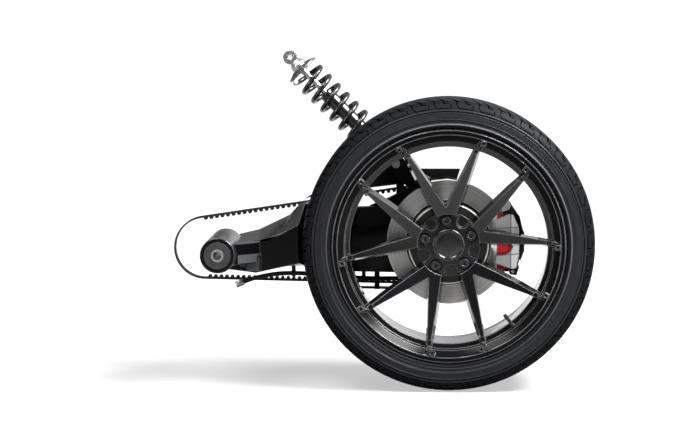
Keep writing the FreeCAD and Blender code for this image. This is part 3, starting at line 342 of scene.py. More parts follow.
class Recipe(Wiring):
    """A finish: a material's node tree, written from the shader backwards."""

    def __init__(self, name, colour, rough, metallic=0.0, shine=0.5):
        self.mat = bpy.data.materials.new(name)
        self.mat.use_nodes = True
        super().__init__(self.mat.node_tree)
        self.shader = self.tree.nodes["Principled BSDF"]
        self.set("Base Color", colour)
        self.set("Roughness", rough)
        self.set("Metallic", metallic)
        self.set("Specular IOR Level", shine)
        self.mat.diffuse_color = colour
        FINISH[name] = self.mat

    def set(self, socket, value):
        self.plug(self.shader.inputs[socket], value)

    def noise(self, size, detail, rough=0.5, at=None):
        """Noise whose blotches are about `size` metres across."""
        made = self.node("TexNoise", at or self.spot())
        self.wire(made, Scale=1 / size, Detail=detail, Roughness=rough)
        return made.outputs["Fac"]

    def blend(self, amount, a, b):
        made = self.node("Mix", amount, data_type="RGBA")
        self.plug(made.inputs[6], a)
        self.plug(made.inputs[7], b)
        return made.outputs[2]

    def mottle(self, spots, colour, dark, light):
        """A colour that wanders between two shades of itself."""
        return self.blend(spots, shade(colour, dark), shade(colour, light))

    def about_axle(self):
        """Radius from the wheel axle and distance along it."""
        x, y, z = self.axes()
        x = self.maths("SUBTRACT", x, AXLE.x)
        z = self.maths("SUBTRACT", z, AXLE.z)
        squares = self.maths("ADD", self.maths("MULTIPLY", x, x), self.maths("MULTIPLY", z, z))
        return self.maths("SQRT", squares), y

    def band(self, value, low, high, soft=0.001):
        """One between two values, nothing outside them."""
        up = self.span(value, low - soft, low)
        down = self.span(value, high, high + soft, 1.0, 0.0)
        return self.maths("MULTIPLY", up, down)

    def bump(self, height, strength, depth, below=None):
        made = self.node("Bump", strength, depth)
        return self.wire(made, Height=height, Normal=below).outputs[0]

    def relief(self, size, detail, strength, depth, below=None):
        """Fine noise as bumps on the shader's normal."""
        self.set("Normal", self.bump(self.noise(size, detail), strength, depth, below))

    def soft_edges(self, radius):
        """The normal as if sharp edges were rounded."""
        return self.node("Bevel", radius, samples=4).outputs[0]

    def edges(self, radius):
        """One along sharp edges, where a coat wears through."""
        flat = self.node("NewGeometry").outputs["Normal"]
        dot = self.node("VectorMath", self.soft_edges(radius), flat, operation="DOT_PRODUCT")
        return self.span(dot.outputs["Value"], 0.995, 0.86)


def shade(colour, factor):
    return tuple(v * factor for v in colour[:3]) + (1.0,)


def gloss_paint():
    """Black gloss paint with a cloudy film, orange peel and softened edges."""
    colour = tuple(finish_set().paint)
    made = Recipe("gloss_black_paint", colour, 0.1)
    made.set("Base Color", made.mottle(made.noise(0.05, 4), colour, 0.75, 1.5))
    made.set("Roughness", made.span(made.noise(0.02, 5), 0.3, 0.75, 0.03, 0.1))
    made.relief(0.004, 2, 0.04, 0.0005, made.soft_edges(0.0008))


def rim_edge_highlight():
    """Painted highlight: a lighter colour on the rim's rounded edges, which draws them as thin
    bright lines over the real reflections that the rounding catches.
    """
    made = Recipe("rim_edge_polish", (0.03, 0.03, 0.031, 1), 0.1, shine=0.3)
    dark, light = (0.012, 0.012, 0.0125, 1), (0.07, 0.07, 0.072, 1)
    made.set("Base Color", made.blend(made.noise(0.02, 4), dark, light))


def rim_well_shade():
    """Painted shade: darker, nearly unreflective paint on the rim's lip and in the well behind it.
    """
    made = Recipe("rim_well_paint", (0.0015, 0.0015, 0.0016, 1), 0.22, shine=0.05)
    # Painted shade: near black, mottled a little.
    film = made.blend(made.noise(0.03, 4), DEEP_BLACK, (0.003, 0.003, 0.0032, 1))
    made.set("Base Color", film)
    made.relief(0.004, 2, 0.05, 0.0005)


def tyre_rubber():
    """Black rubber: a worn tread, painted shade in the grooves, fine rings and a painted highlight
    along the rib by the rim.
    """
    colour = tuple(tyre_set().rubber)
    made = Recipe("tyre_rubber", colour, 0.6, shine=0.15)
    radius = made.about_axle()[0]
    spots = made.noise(0.035, 6, 0.65)
    tread = made.span(radius, *TREAD_EDGE)
    groove = made.node("Attribute", attribute_name="groove").outputs["Fac"]
    side = made.mottle(spots, colour, 0.6, 1.35)
    skin = made.blend(tread, side, made.mottle(spots, colour, 0.8, 2.0))
    # Painted highlight: a light band along the rib by the rim.
    skin = made.blend(made.band(radius, *RIM_RIB_HIGHLIGHT, 0.0004), skin, (0.05, 0.051, 0.054, 1))
    # Painted shade: groove floors and the feet of the block walls go black.
    made.set("Base Color", made.blend(groove, skin, DEEP_BLACK))
    smoother = made.maths(
        "SUBTRACT", made.span(spots, 0.3, 0.7, 0.4, 0.54), made.maths("MULTIPLY", tread, 0.08))
    made.set("Roughness", made.maths("MAXIMUM", smoother, groove))
    rings = []
    for low, high, pitch, soft in SIDE_RINGS:
        wave = made.maths("SINE", made.maths("MULTIPLY", radius, TURN / pitch))
        rings.append(made.maths("MULTIPLY", wave, made.band(radius, low, high, soft)))
    coarse = made.bump(made.maths("ADD", *rings), 0.45, 0.0005)
    made.relief(0.0012, 3, 0.25, 0.0003, coarse)


def tyre_bead_shade():
    """Painted shade: the rubber darker and nearly unreflective on the band between the rim and the
    rib that guards it, where the gap to the rim lies.
    """
    colour = shade(tyre_set().rubber, 0.5)
    made = Recipe("tyre_bead_rubber", colour, 0.5, shine=0.04)
    made.set("Base Color", made.mottle(made.noise(0.02, 4, 0.6), colour, 0.6, 1.4))
    made.relief(0.0012, 3, 0.25, 0.0003)


def disc_iron():
    """Swept iron with turned rings and a warm tint, two thin rings of painted highlight and a dull
    hat.
    """
    colour = tuple(finish_set().iron)
    made = Recipe("disc_iron", colour, 0.35, metallic=0.5)
    radius, across = made.about_axle()
    line = made.node("CombineXYZ", radius, 0.0, across).outputs[0]
    rings = made.noise(0.0009, 4, 0.7, line)
    wide = made.span(made.noise(0.006, 3, 0.6, line), 0.35, 0.65, 0.0, 0.5)
    warm = made.span(made.noise(0.09, 2), 0.45, 0.7, 0.0, 0.5)
    hat = made.blend(made.noise(0.01, 5), DARK_GREY, (0.03, 0.027, 0.024, 1))
    base = made.mottle(made.span(rings, 0.3, 0.7), colour, 0.4, 1.6)
    base = made.blend(wide, base, shade(colour, 0.7))
    base = made.blend(warm, base, (0.2, 0.185, 0.17, 1))
    base = made.blend(made.band(radius, *SWEPT_RING, 0.0008), hat, base)
    # Painted highlight: two thin rings near-white.
    arcs = made.maths("MAXIMUM", *[made.band(radius, *arc, 0.0003) for arc in HIGHLIGHT_ARCS])
    made.set("Base Color", made.blend(arcs, base, (0.95, 0.94, 0.92, 1)))
    made.set("Roughness", made.span(rings, 0.2, 0.8, 0.28, 0.5))
    made.set("Normal", made.bump(rings, 0.35, 0.0002, made.soft_edges(0.0008)))


def arm_coat():
    """Gloss black coat of the arm, thinner and greyer on the block in front."""
    colour = tuple(finish_set().powder)
    made = Recipe("arm_powder_coat", colour, 0.16, shine=0.14)
    spots = made.noise(0.02, 4, 0.6)
    x, y, z = made.axes()
    block = made.maths("MULTIPLY", made.band(x, *ARM_BLOCK_LENGTH), made.band(z, *ARM_BLOCK_HEIGHT))
    block = made.maths("MULTIPLY", block, made.span(y, *ARM_BLOCK_FACE, 1.0, 0.0))
    base = made.blend(block, made.mottle(spots, colour, 0.65, 1.5), (0.045, 0.046, 0.048, 1))
    made.set("Base Color", base)
    made.set("Roughness", made.span(spots, 0.25, 0.75, 0.12, 0.2))
    made.relief(0.0016, 3, 0.1, 0.00008, made.soft_edges(0.0012))


def pad_paint():
    """Red backing plates, near-white on the side towards the axle."""
    colour = tuple(finish_set().pad_red)
    made = Recipe("pad_red_paint", colour, 0.3, shine=0.3)
    spots = made.noise(0.006, 4, 0.6)
    red = made.mottle(spots, colour, 0.75, 1.2)
    # A near-white strip on the side towards the axle.
    bare = made.blend(spots, (0.8, 0.79, 0.77, 1), (0.95, 0.93, 0.9, 1))
    made.set("Base Color", made.blend(made.span(made.axes()[0], *PALE_STRIP_END), bare, red))
    made.set("Roughness", made.span(spots, 0.3, 0.7, 0.25, 0.4))
    made.relief(0.0018, 3, 0.15, 0.0001, made.soft_edges(0.0008))


def cast_caliper():
    """Bead-blasted casting: a machined outer facet and the joint lines of its bridge."""
    colour = tuple(finish_set().alloy)
    made = Recipe("caliper_cast_alloy", colour, 0.42, metallic=0.6)
    across, _, height = made.axes()
    grain = made.noise(0.004, 5, 0.6)
    cloud = made.maths("MULTIPLY", made.noise(0.03, 3), 0.5)
    base = made.blend(cloud, made.mottle(grain, colour, 0.6, 1.1), shade(colour, 0.6))
    base = made.blend(made.span(across, *FACET_START), base, shade(colour, 1.5))
    lines = made.band(across, *FACET_LINE, 0.0004)
    for level, slope in JOINT_LINES:
        lean = made.maths("MULTIPLY", made.maths("SUBTRACT", across, CALIPER_MIDDLE), slope)
        upright = made.maths("SUBTRACT", height, lean)
        line = made.band(upright, level, level + JOINT_WIDTH, 0.0004)
        lines = made.maths("MAXIMUM", lines, line)
    inked = made.maths("MULTIPLY", lines, 0.8)
    made.set("Base Color", made.blend(inked, base, (0.02, 0.02, 0.02, 1)))
    made.set("Roughness", made.span(grain, 0.25, 0.75, 0.32, 0.52))
    sunk = made.bump(lines, -0.6, 0.0008, made.soft_edges(0.0008))
    made.relief(0.0012, 3, 0.25, 0.0003, sunk)


def metal(name, colour, rough, grain, metallic=1.0, edge=0.0006, wear=None):
    """A machined or plated metal with grain and softened edges."""
    made = Recipe(name, colour, rough, metallic)
    spots = made.noise(grain, 5, 0.6)
    base = made.mottle(spots, colour, 0.7, 1.25)
    if wear:
        base = made.blend(made.edges(edge * 1.6), base, wear)
    made.set("Base Color", base)
    made.set("Roughness", made.span(spots, 0.25, 0.75, rough * 0.75, min(rough * 1.35, 1)))
    made.relief(grain * 0.15, 3, 0.18, 0.0003, made.soft_edges(edge))


def coat(name, colour, rough, grain, depth=0.0004, edge=0.0012, wear=None, amount=0.2,
         shine=0.5):
    """A painted, coated or moulded surface with a fine texture."""
    made = Recipe(name, colour, rough, shine=shine)
    spots = made.noise(grain * 12, 4, 0.6)
    base = made.mottle(spots, colour, 0.65, 1.5)
    if wear:
        base = made.blend(made.maths("MULTIPLY", made.edges(edge), 0.6), base, wear)
    made.set("Base Color", base)
    made.set("Roughness", made.span(spots, 0.25, 0.75, rough * 0.8, min(rough * 1.25, 1)))
    made.relief(grain, 3, amount, depth, made.soft_edges(edge))


def make_finishes():
    """Make every finish of the unit; each is entered in FINISH by its name."""
    for own in (gloss_paint, rim_edge_highlight, rim_well_shade, tyre_bead_shade, tyre_rubber, disc_iron, arm_coat,
                cast_caliper, pad_paint):
        own()
    coat("bracket_coat", BLUE_BLACK, 0.4, 0.0012, shine=0.2, wear=(0.06, 0.06, 0.06, 1))
    coat("spring_paint", (0.004, 0.004, 0.005, 1), 0.24, 0.0012)
    # Painted highlight: a lighter coat on the arm's rounded edges.
    coat("arm_edge_polish", (0.012, 0.012, 0.013, 1), 0.1, 0.002, amount=0.05)
    coat("belt_rubber", DARK_GREY, 0.6, 0.0009, edge=0.0006, shine=0.15)
    coat("guard_plastic", (0.004, 0.004, 0.0045, 1), 0.5, 0.001, edge=0.0008, shine=0.15)
    coat("hose_rubber", BLUE_BLACK, 0.5, 0.0008, edge=0.0004, shine=0.2)
    coat("bush_polymer", (0.018, 0.018, 0.019, 1), 0.5, 0.0012, shine=0.25)
    coat("cap_gloss_plastic", DARK_GREY, 0.12, 0.0015, depth=0.0002, edge=0.0008)
    coat("boot_rubber", (0.014, 0.014, 0.015, 1), 0.55, 0.001)
    metal("caliper_machined_edge", (0.7, 0.7, 0.7, 1), 0.3, 0.003)
    metal("bare_steel", (0.42, 0.42, 0.42, 1), 0.32, 0.004)
    metal("zinc_plate", (0.46, 0.46, 0.45, 1), 0.36, 0.003)
    metal("black_nut_plate", (0.035, 0.035, 0.037, 1), 0.26, 0.003, metallic=0.8, edge=0.0008,
          wear=(0.2, 0.2, 0.21, 1))
    metal("bearing_steel", (0.5, 0.5, 0.5, 1), 0.22, 0.006)
    metal("sprocket_hard_coat", (0.05, 0.05, 0.053, 1), 0.4, 0.003, metallic=0.7, edge=0.0008,
          wear=(0.4, 0.4, 0.4, 1))
    metal("weight_zinc", (0.5, 0.5, 0.5, 1), 0.4, 0.003, metallic=0.6)


NODE_FINISH = {
    "tyre": "tyre_rubber", "rim": "gloss_black_paint", "centre_cap": "cap_gloss_plastic",
    "lug_nuts": "black_nut_plate", "wheel_hub": "bare_steel", "wheel_studs": "zinc_plate",
    "brake_disc": "disc_iron", "driven_sprocket": "sprocket_hard_coat",
    "drive_flange": "sprocket_hard_coat", "sprocket_bolts": "zinc_plate",
    "axle_nut": "zinc_plate", "valve_stem": "hose_rubber", "balance_weights": "weight_zinc",
    "swingarm_arm": "arm_powder_coat", "pivot_sleeve": "bare_steel",
    "pivot_bushes": "bush_polymer", "hub_carrier": "bracket_coat",
    "wheel_bearings": "bearing_steel", "pinch_bolts": "zinc_plate",
    "caliper_housing": "caliper_cast_alloy", "caliper_bracket": "bracket_coat",
    "brake_pads": "pad_red_paint", "drive_belt": "belt_rubber",
    "upper_belt_guard": "guard_plastic", "lower_belt_guard": "guard_plastic",
    "guard_bolts": "zinc_plate", "shock_clevis": "arm_powder_coat",
    "shock_lower_bolt": "zinc_plate", "damper_body": "spring_paint", "bump_boot": "boot_rubber",
    "lower_spring_seat": "sprocket_hard_coat", "upper_spring_seat": "sprocket_hard_coat",
    "damper_rod": "bare_steel", "shock_eye_sleeves": "bare_steel",
    "shock_spring": "spring_paint", "brake_hose": "hose_rubber", "hose_clips": "bracket_coat",
}


def put_finish(thing, name):
    """Give an object its finish and keep the material number of each face."""
    indices = [face.material_index for face in thing.data.polygons]
    thing.data.materials.clear()
    thing.data.materials.append(FINISH[name])
    thing.data.polygons.foreach_set("material_index", indices)


def add_piece(name, mesh, body, finishes, replaces=()):
    """Link a finished mesh, dress it in one or more finishes and let it ride on a body."""
    piece = bpy.data.objects.new(name, mesh)
    bpy.context.scene.collection.objects.link(piece)
    mesh.name = name
    put_finish(piece, finishes[0])
    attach(piece, body)
    if replaces:
        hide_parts(*replaces)
    for more in finishes[1:]:
        mesh.materials.append(FINISH[more])


def mesh_from(points, faces, smooth, sunk=None):
    """A mesh with outward faces, smooth below the given angle; sunk marks deep points."""
    mesh = bpy.data.meshes.new("made")
    work = bmesh.new()
    layer = work.verts.layers.float.new("groove") if sunk else None
    spots = [work.verts.new(p) for p in points]
    for spot, depth in zip(spots, sunk or ()):
        spot[layer] = depth
    for face in faces:
        work.faces.new([spots[i] for i in face])
    bmesh.ops.remove_doubles(work, verts=work.verts, dist=SAME_PLACE)
    bmesh.ops.recalc_face_normals(work, faces=work.faces)
    smooth_edges(work, math.radians(smooth))
    work.to_mesh(mesh)
    work.free()
    return mesh


def smooth_edges(work, limit):
    """Shade faces smooth, but for edges that bend more than the limit or lie open."""
    for face in work.faces:
        face.smooth = True
    for edge in work.edges:
        edge.smooth = len(edge.link_faces) == 2 and edge.calc_face_angle(0) <= limit


def joined(*meshes):
    """One mesh out of several, which are used up."""
    work = bmesh.new()
    for mesh in meshes:
        work.from_mesh(mesh)
    result = bpy.data.meshes.new("joined")
    work.to_mesh(result)
    work.free()
    for mesh in meshes:
        bpy.data.meshes.remove(mesh)
    return result


def stacked(rows, count):
    """Faces of a closed stack of rings with so many points each, both ends capped."""
    faces = [tuple(range(count)), tuple(range((rows - 1) * count, rows * count))]
    for start in range(0, (rows - 1) * count, count):
        for i in range(count):
            n = (i + 1) % count
            faces.append((start + i, start + n, start + count + n, start + count + i))
    return faces


def turned(profile, steps, smooth, sunk=None):
    """Revolve (radius, y) points in mm about the axle, closed on itself."""
    points = []
    faces = []
    count = len(profile)
    section = [(r * MM, y * MM) for r, y in profile]
    for i in range(steps):
        turn = TURN * i / steps
        c, k = math.cos(turn), math.sin(turn)
        points += [(AXLE.x + r * c, y, AXLE.z + r * k) for r, y in section]
        start, after = i * count, (i + 1) % steps * count
        for j in range(count):
            n = (j + 1) % count
            faces.append((start + j, start + n, after + n, after + j))
    return mesh_from(points, faces, smooth, sunk * steps if sunk else None)


def ring_radius(mesh, face):
    """Mean distance of a face's corners from the axle, in mm."""
    reach = 0.0
    for index in face.vertices:
        spot = mesh.vertices[index].co - AXLE
        reach += math.hypot(spot.x, spot.z)
    return reach / len(face.vertices) / MM


def held(mesh, kind):
    """An object that holds a mesh under one modifier."""
    holder = bpy.data.objects.new("holder", mesh)
    bpy.context.scene.collection.objects.link(holder)
    return holder, holder.modifiers.new("work", kind)


def settled(holder):
    """The plain mesh that a holder's modifier makes; the holder goes."""
    bpy.context.view_layer.update()
    ready = holder.evaluated_get(bpy.context.evaluated_depsgraph_get())
    result = bpy.data.meshes.new_from_object(ready)
    bpy.data.objects.remove(holder)
    return result


class Tree(Wiring):
    """A geometry node tree with named inputs."""

    def __init__(self, name):
        super().__init__(bpy.data.node_groups.new(name, "GeometryNodeTree"))
        for way in ("INPUT", "OUTPUT"):
            self.tree.interface.new_socket(
                "Geometry", in_out=way, socket_type="NodeSocketGeometry")
        self.start = self.tree.nodes.new("NodeGroupInput")
        self.end = self.tree.nodes.new("NodeGroupOutput")

    def named(self, name, kind, default=None):
        socket = self.tree.interface.new_socket(name, in_out="INPUT", socket_type=kind)
        if default is not None:
            socket.default_value = default
        return self.start.outputs[name]

    def about_y(self, angle):
        """A turn about the Y axis."""
        return self.node("CombineXYZ", None, angle).outputs[0]

    def close(self, geometry):
        """End in Realize Instances and Set Material."""
        material = self.named("Finish", "NodeSocketMaterial")
        real = self.node("GeometryNodeRealizeInstances", geometry)
        dress = self.node("GeometryNodeSetMaterial", real.outputs[0])
        self.wire(dress, Material=material)
        self.plug(self.end.inputs[0], dress.outputs[0])
        return self.tree


def ring_tree():
    """Repeats a mesh evenly round the Y axis."""
    made = Tree("ring_round_axle")
    count = made.named("Count", "NodeSocketInt", 12)
    points = made.node("GeometryNodePoints", count).outputs[0]
    index = made.node("GeometryNodeInputIndex").outputs[0]
    angle = made.maths("MULTIPLY", made.maths("DIVIDE", index, count), TURN)
    place = made.node("GeometryNodeInstanceOnPoints", points)
    made.wire(place, Instance=made.start.outputs[0], Rotation=made.about_y(angle))
    return made.close(place.outputs[0])


def spot_tree():
    """Puts a fastener on every vertex of a mesh, each turned at random."""
    made = Tree("fastener_on_spots")
    head = made.named("Fastener", "NodeSocketObject")
    facing = made.named("Facing", "NodeSocketVector", (0, 0, 0))
    seed = made.named("Seed", "NodeSocketInt", 3)
    furthest = made.named("Furthest Turn", "NodeSocketFloat", FURTHEST_TURN)
    info = made.node("GeometryNodeObjectInfo")
    made.wire(info, Object=head)
    random = made.node("FunctionNodeRandomValue", data_type="FLOAT")
    made.plug(random.inputs[3], furthest)
    made.wire(random, Seed=seed)
    place = made.node("GeometryNodeInstanceOnPoints", made.start.outputs[0])
    made.wire(place, Instance=info.outputs["Geometry"], Rotation=facing)
    again = made.node("GeometryNodeRotateInstances", place.outputs[0])
    made.wire(again, Rotation=made.about_y(random.outputs[1]))
    return made.close(again.outputs[0])


def through_tree(mesh, tree, finish_name, **inputs):
    """Run a mesh through a node tree and return the plain mesh that comes out."""
    holder, modifier = held(mesh, "NODES")
    modifier.node_group = tree
    inputs["Finish"] = FINISH[finish_name]
    for item in tree.interface.items_tree:
        if item.in_out == "INPUT" and item.name in inputs:
            modifier[item.identifier] = inputs[item.name]
    return settled(holder)


def fastener(radius, height, kind="hex"):
    """A bolt head on +Y in mm: a hexagon, or a round head with a socket in it."""
    sides, rows = (HEX_SIDES, HEAD) if kind == "hex" else (ROUND_SIDES, HEAD + SOCKET)
    points = []
    for wide, high in rows:
        r, y = radius * wide * MM, height * high * MM
        for i in range(sides):
            turn = TURN * i / sides
            points.append((r * math.cos(turn), y, r * math.sin(turn)))
    return mesh_from(points, stacked(len(rows), sides), smooth=30)


def put_fasteners(name, spots, head_size, kind="hex", facing=(0, 0, 0)):
    """Zinc bolt heads at the given points, one piece on the swingarm."""
    mesh = bpy.data.meshes.new("spots")
    mesh.from_pydata([Vector(p) * MM for p in spots], [], [])
    head = bpy.data.objects.new("fastener", fastener(*head_size, kind))
    result = through_tree(mesh, spot_tree(), "zinc_plate", Fastener=head, Facing=facing)
    bpy.data.objects.remove(head)
    add_piece(name, result, "swingarm", ["zinc_plate"])


def along(line, s):
    """Height of a broken line of (s, value) points at s."""
    for (s0, v0), (s1, v1) in zip(line, line[1:]):
        if s <= s1:
            return v0 + (v1 - v0) * max(0.0, s - s0) / (s1 - s0)
    return line[-1][1]


def spread(low, high, count):
    return [low + (high - low) * i / count for i in range(count + 1)]


def crown_at(s):
    """Point and outward normal of the tread at the distance s from the middle, in mm."""
    side = -1 if s < 0 else 1
    left = abs(s)
    for (y0, r0), (y1, r1) in zip(CROWN, CROWN[1:]):
        step = math.hypot(y1 - y0, r1 - r0)
        if left <= step or (y1, r1) == CROWN[-1]:
            share = left / step
            ny, nr = (r0 - r1) / step, (y1 - y0) / step
            return r0 + (r1 - r0) * share, side * (y0 + (y1 - y0) * share), nr, side * ny
        left -= step


def groove_at(s):
    """Depth of the tread grooves at the distance s, in mm."""
    depth = tyre_set().groove_depth / MM
    return along([(0, depth), (DEEP_REACH, depth)] + SHALLOW_GROOVES, abs(s))


def sunk_points(points, least):
    """One for each (radius, y) point that lies deeper than that below the crown, in mm."""
    return [1.0 if along(CROWN, abs(y)) - r > least else 0.0 for r, y in points]


def tread_block(spots, faces, rows, columns, low, high):
    """A raised block between two edges, each a distance round the tyre at the distance s."""
    start = len(spots)
    for s in rows:
        r, y, nr, ny = crown_at(s)
        sink = groove_at(s) + BLOCK_ROOT
        a, b = low(s), high(s)
        row = [(r, y, a + (b - a) * j / columns) for j in range(columns + 1)]
        row += [(r - nr * sink, y - ny * sink, end)
                for end in (a - BLOCK_SPLAY, b + BLOCK_SPLAY)]
        for reach, across, round_tyre in row:
            turn = round_tyre / CREST
            spots.append((reach * math.cos(turn), across, reach * math.sin(turn)))
    wide = columns + 3
    for i in range(len(rows) - 1):
        a, b = start + i * wide, start + (i + 1) * wide
        for j in range(columns):
            faces.append((a + j, a + j + 1, b + j + 1, b + j))
        faces.append((a, a + columns + 1, b + columns + 1, b))
        faces.append((a + columns, a + columns + 2, b + columns + 2, b + columns))
    for i in (0, len(rows) - 1):
        a = start + i * wide
        faces.append(tuple([a + j for j in range(columns + 1)] + [a + wide - 1, a + wide - 2]))


def tread_pitch():
    """One pitch of the tread, about the Y axis."""
    spots = []
    faces = []
    pitch = TURN * CREST / tyre_set().pitches
    next_groove = [(s, u + pitch) for s, u in MAIN_GROOVE]
    last_tick = [(0, MAIN_GROOVE[-1][1] + pitch)]
    # From and to, the line and gap at each end of the block, and its number of steps.
    blocks = [
        (86, 131, MAIN_GROOVE, WIDE_GAP, SIDE_GROOVE, WIDE_GAP, 7),
        (86, 131, SIDE_GROOVE, WIDE_GAP, next_groove, WIDE_GAP, 7),
        (131, 133.6, MAIN_GROOVE, HOOK_GAP, SIDE_GROOVE, OPEN_GAP, 1),
        (131, 133.6, SIDE_GROOVE, SHORT_HOOK_GAP, next_groove, OPEN_GAP, 1),
        (133.6, 138.4, MAIN_GROOVE, THIN_GAP, SIDE_GROOVE, OPEN_GAP, 2),
        (133.6, 138.4, SIDE_GROOVE, THIN_GAP, next_groove, THIN_GAP, 2),
        (138.4, 141.4, MAIN_GROOVE, THIN_GAP, SIDE_GROOVE, THIN_GAP, 1),
        (138.4, 141.4, HOOK_END, 0, next_groove, THIN_GAP, 1),
        (141.4, 144, MAIN_GROOVE, THIN_GAP, next_groove, THIN_GAP, 1),
        (144, 153.4, MAIN_GROOVE, THIN_GAP, TICK, THIN_GAP, 4),
        (144, 153.4, TICK, THIN_GAP, next_groove, THIN_GAP, 4),
        (153.4, 156.4, TICK, THIN_GAP, last_tick, THIN_GAP, 1),
    ]
    for side in (-1, 1):
        for first, last, low, low_gap, high, high_gap, steps in blocks:
            rows = [side * s for s in spread(first, last, steps)]
            tread_block(spots, faces, rows, 3,
                        lambda s: side * (along(low, abs(s)) + low_gap),
                        lambda s: side * (along(high, abs(s)) - high_gap))
        rows = [side * s for s in spread(*RIB_REACH, 6)]
        sipe = pitch * RIB_SIPE
        for start, stop in ((RIB_GAP, sipe - SIPE_HALF), (sipe + SIPE_HALF, pitch - RIB_GAP)):
            tread_block(spots, faces, rows, 2,
                        lambda s: side * rib_lean(s) + start,
                        lambda s: side * rib_lean(s) + stop)
    tread_block(spots, faces, spread(-MIDDLE_REACH, MIDDLE_REACH, 6), 3,
                lambda s: MIDDLE_SLOPE * s + MIDDLE_GAP,
                lambda s: MIDDLE_SLOPE * s + pitch - MIDDLE_GAP)
    deep = sunk_points([(math.hypot(x, z), y) for x, y, z in spots], SUNK_BLOCK)
    points = [(x * MM, y * MM, z * MM) for x, y, z in spots]
    return mesh_from(points, faces, smooth=30, sunk=deep)


def rib_lean(s):
    """How far the rib's sipes lean round the tyre at the distance s, in mm."""
    return RIB_LEAN - RIB_SLOPE * (abs(s) - RIB_REACH[0])


def build_tyre():
    """Carcass turned from its section, with the tread blocks repeated round it."""
    outer = []
    steps = [s for reach in TREAD_STEPS for s in spread(*reach)]
    for s in steps + SHOULDER_STEPS:
        r, y, nr, ny = crown_at(s)
        sink = groove_at(s) + SHOULDER_RINGS.get(s, 0.0)
        outer.append((r - nr * sink, y - ny * sink))
    half = outer[1:] + [(r, y) for y, r in SIDE + LINING]
    profile = [(outer[0][0], 0.0)] + half + [(r, -y) for r, y in half[:-1]][::-1]
    deep = [depth if r > GROOVED_ABOVE else 0.0
            for depth, (r, y) in zip(sunk_points(profile, SUNK_CARCASS), profile)]
    carcass = turned(profile, TYRE_TURNS, smooth=50, sunk=deep)
    blocks = through_tree(tread_pitch(), ring_tree(), "tyre_rubber", Count=tyre_set().pitches)
    blocks.transform(Matrix.Translation(AXLE))
    return joined(carcass, blocks)


def rounded_copy(node, width):
    """A CAD node's mesh, merged, with edges rounded by so many mm, as material 1."""
    mesh = NODES[node].data.copy()
    work = bmesh.new()
    work.from_mesh(mesh)
    bmesh.ops.remove_doubles(work, verts=work.verts, dist=2 * SAME_PLACE)
    bmesh.ops.dissolve_degenerate(work, dist=width * MM * SHORT_EDGE, edges=work.edges)
    bmesh.ops.dissolve_limit(
        work, angle_limit=FLAT_ANGLE, verts=work.verts, edges=work.edges)
    smooth_edges(work, EDGE_ANGLE)
    work.to_mesh(mesh)
    work.free()
    if "custom_normal" in mesh.attributes:
        mesh.attributes.remove(mesh.attributes["custom_normal"])
    mesh.materials.clear()
    mesh.materials.append(None)
    mesh.materials.append(None)
    holder, rounding = held(mesh, "BEVEL")
    rounding.width = width * MM
    rounding.segments = 2
    rounding.limit_method = "ANGLE"
    rounding.angle_limit = EDGE_ANGLE
    rounding.harden_normals = True
    rounding.use_clamp_overlap = False
    rounding.miter_outer = "MITER_ARC"
    rounding.material = 1
    return settled(holder)


def lathed(section, steps=32, smooth=35):
    """A fitting turned about the Y axis from (radius, length) points in mm."""
    mesh = turned(section, steps, smooth)
    mesh.transform(Matrix.Translation(-AXLE))
    return mesh


def aimed(mesh, start, towards):
    """Move a mesh on the Y axis so that it runs from a point in mm in a direction."""
    turn = Vector((0, 1, 0)).rotation_difference(Vector(towards))
    mesh.transform(turn.to_matrix().to_4x4())
    mesh.transform(Matrix.Translation(Vector(start) * MM))
    return mesh


def plate(outline, front, back, bevel):
    """A flat plate with a chamfered front, from (x, z) points about the axle in mm."""
    middle = Vector((sum(x for x, z in outline), 0, sum(z for x, z in outline))) / len(outline)
    corners = [Vector((x, 0, z)) - middle for x, z in outline]
    shrink = 1 - bevel / max(spot.length for spot in corners)
    points = []
    for y, share in ((back, 1), (front + bevel, 1), (front, shrink)):
        level = middle + Vector((0, y, 0))
        points += [AXLE + (level + spot * share) * MM for spot in corners]
    return mesh_from(points, stacked(3, len(outline)), smooth=20)


def preload_collar():
    """The notched ring that holds the lower spring seat."""
    low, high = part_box("lower_spring_seat")
    half = COLLAR_TOOTH_HALF
    points = []
    for r, y0, y1 in COLLAR_TOOTH:
        for x, y in ((-half, y0), (half, y0), (half, y1), (-half, y1)):
            points.append((r * MM, y * MM, x * MM))
    tooth = mesh_from(points, stacked(2, 4), smooth=30)
    teeth = through_tree(tooth, ring_tree(), "sprocket_hard_coat", Count=COLLAR_TEETH)
    seat = (low + high) / 2 / MM
    ring = lathed(COLLAR, steps=60, smooth=40)
    return aimed(joined(ring, teeth), seat, Vector(SHOCK_RUN).normalized())


def hose_fittings():
    """The hose's nut and ferrule at the caliper and its fitting in front."""
    nut = aimed(fastener(*HOSE_NUT), HOSE_INLET, (0, 1, 0))
    ferrule = aimed(lathed(HOSE_FERRULE), HOSE_INLET, (0, 1, 0))
    front = aimed(lathed(HOSE_FRONT_END), HOSE_FRONT, HOSE_FRONT_RUN)
    return joined(ferrule, nut, front)


def studio_air():
    """White to the camera; to the paint it is bright behind and right, dim in front."""
    world = bpy.data.worlds.new("studio_air")
    world.use_nodes = True
    made = Wiring(world.node_tree)
    made.tree.nodes.clear()
    sky = made.node("SeparateXYZ", made.node("TexCoord").outputs["Generated"]).outputs
    fades = [made.span(sky[i], *fade, "SMOOTHSTEP") for i, fade in enumerate(SKY_FADES)]
    dim = made.node("Background", WHITE, made.maths("MULTIPLY", *fades)).outputs[0]
    white = made.node("Background", WHITE, 1.0).outputs[0]
    rays = made.node("LightPath").outputs
    seen = made.maths("MAXIMUM", rays["Is Camera Ray"], rays["Is Transmission Ray"])
    made.node("OutputWorld", made.node("MixShader", seen, dim, white).outputs[0])
    return world


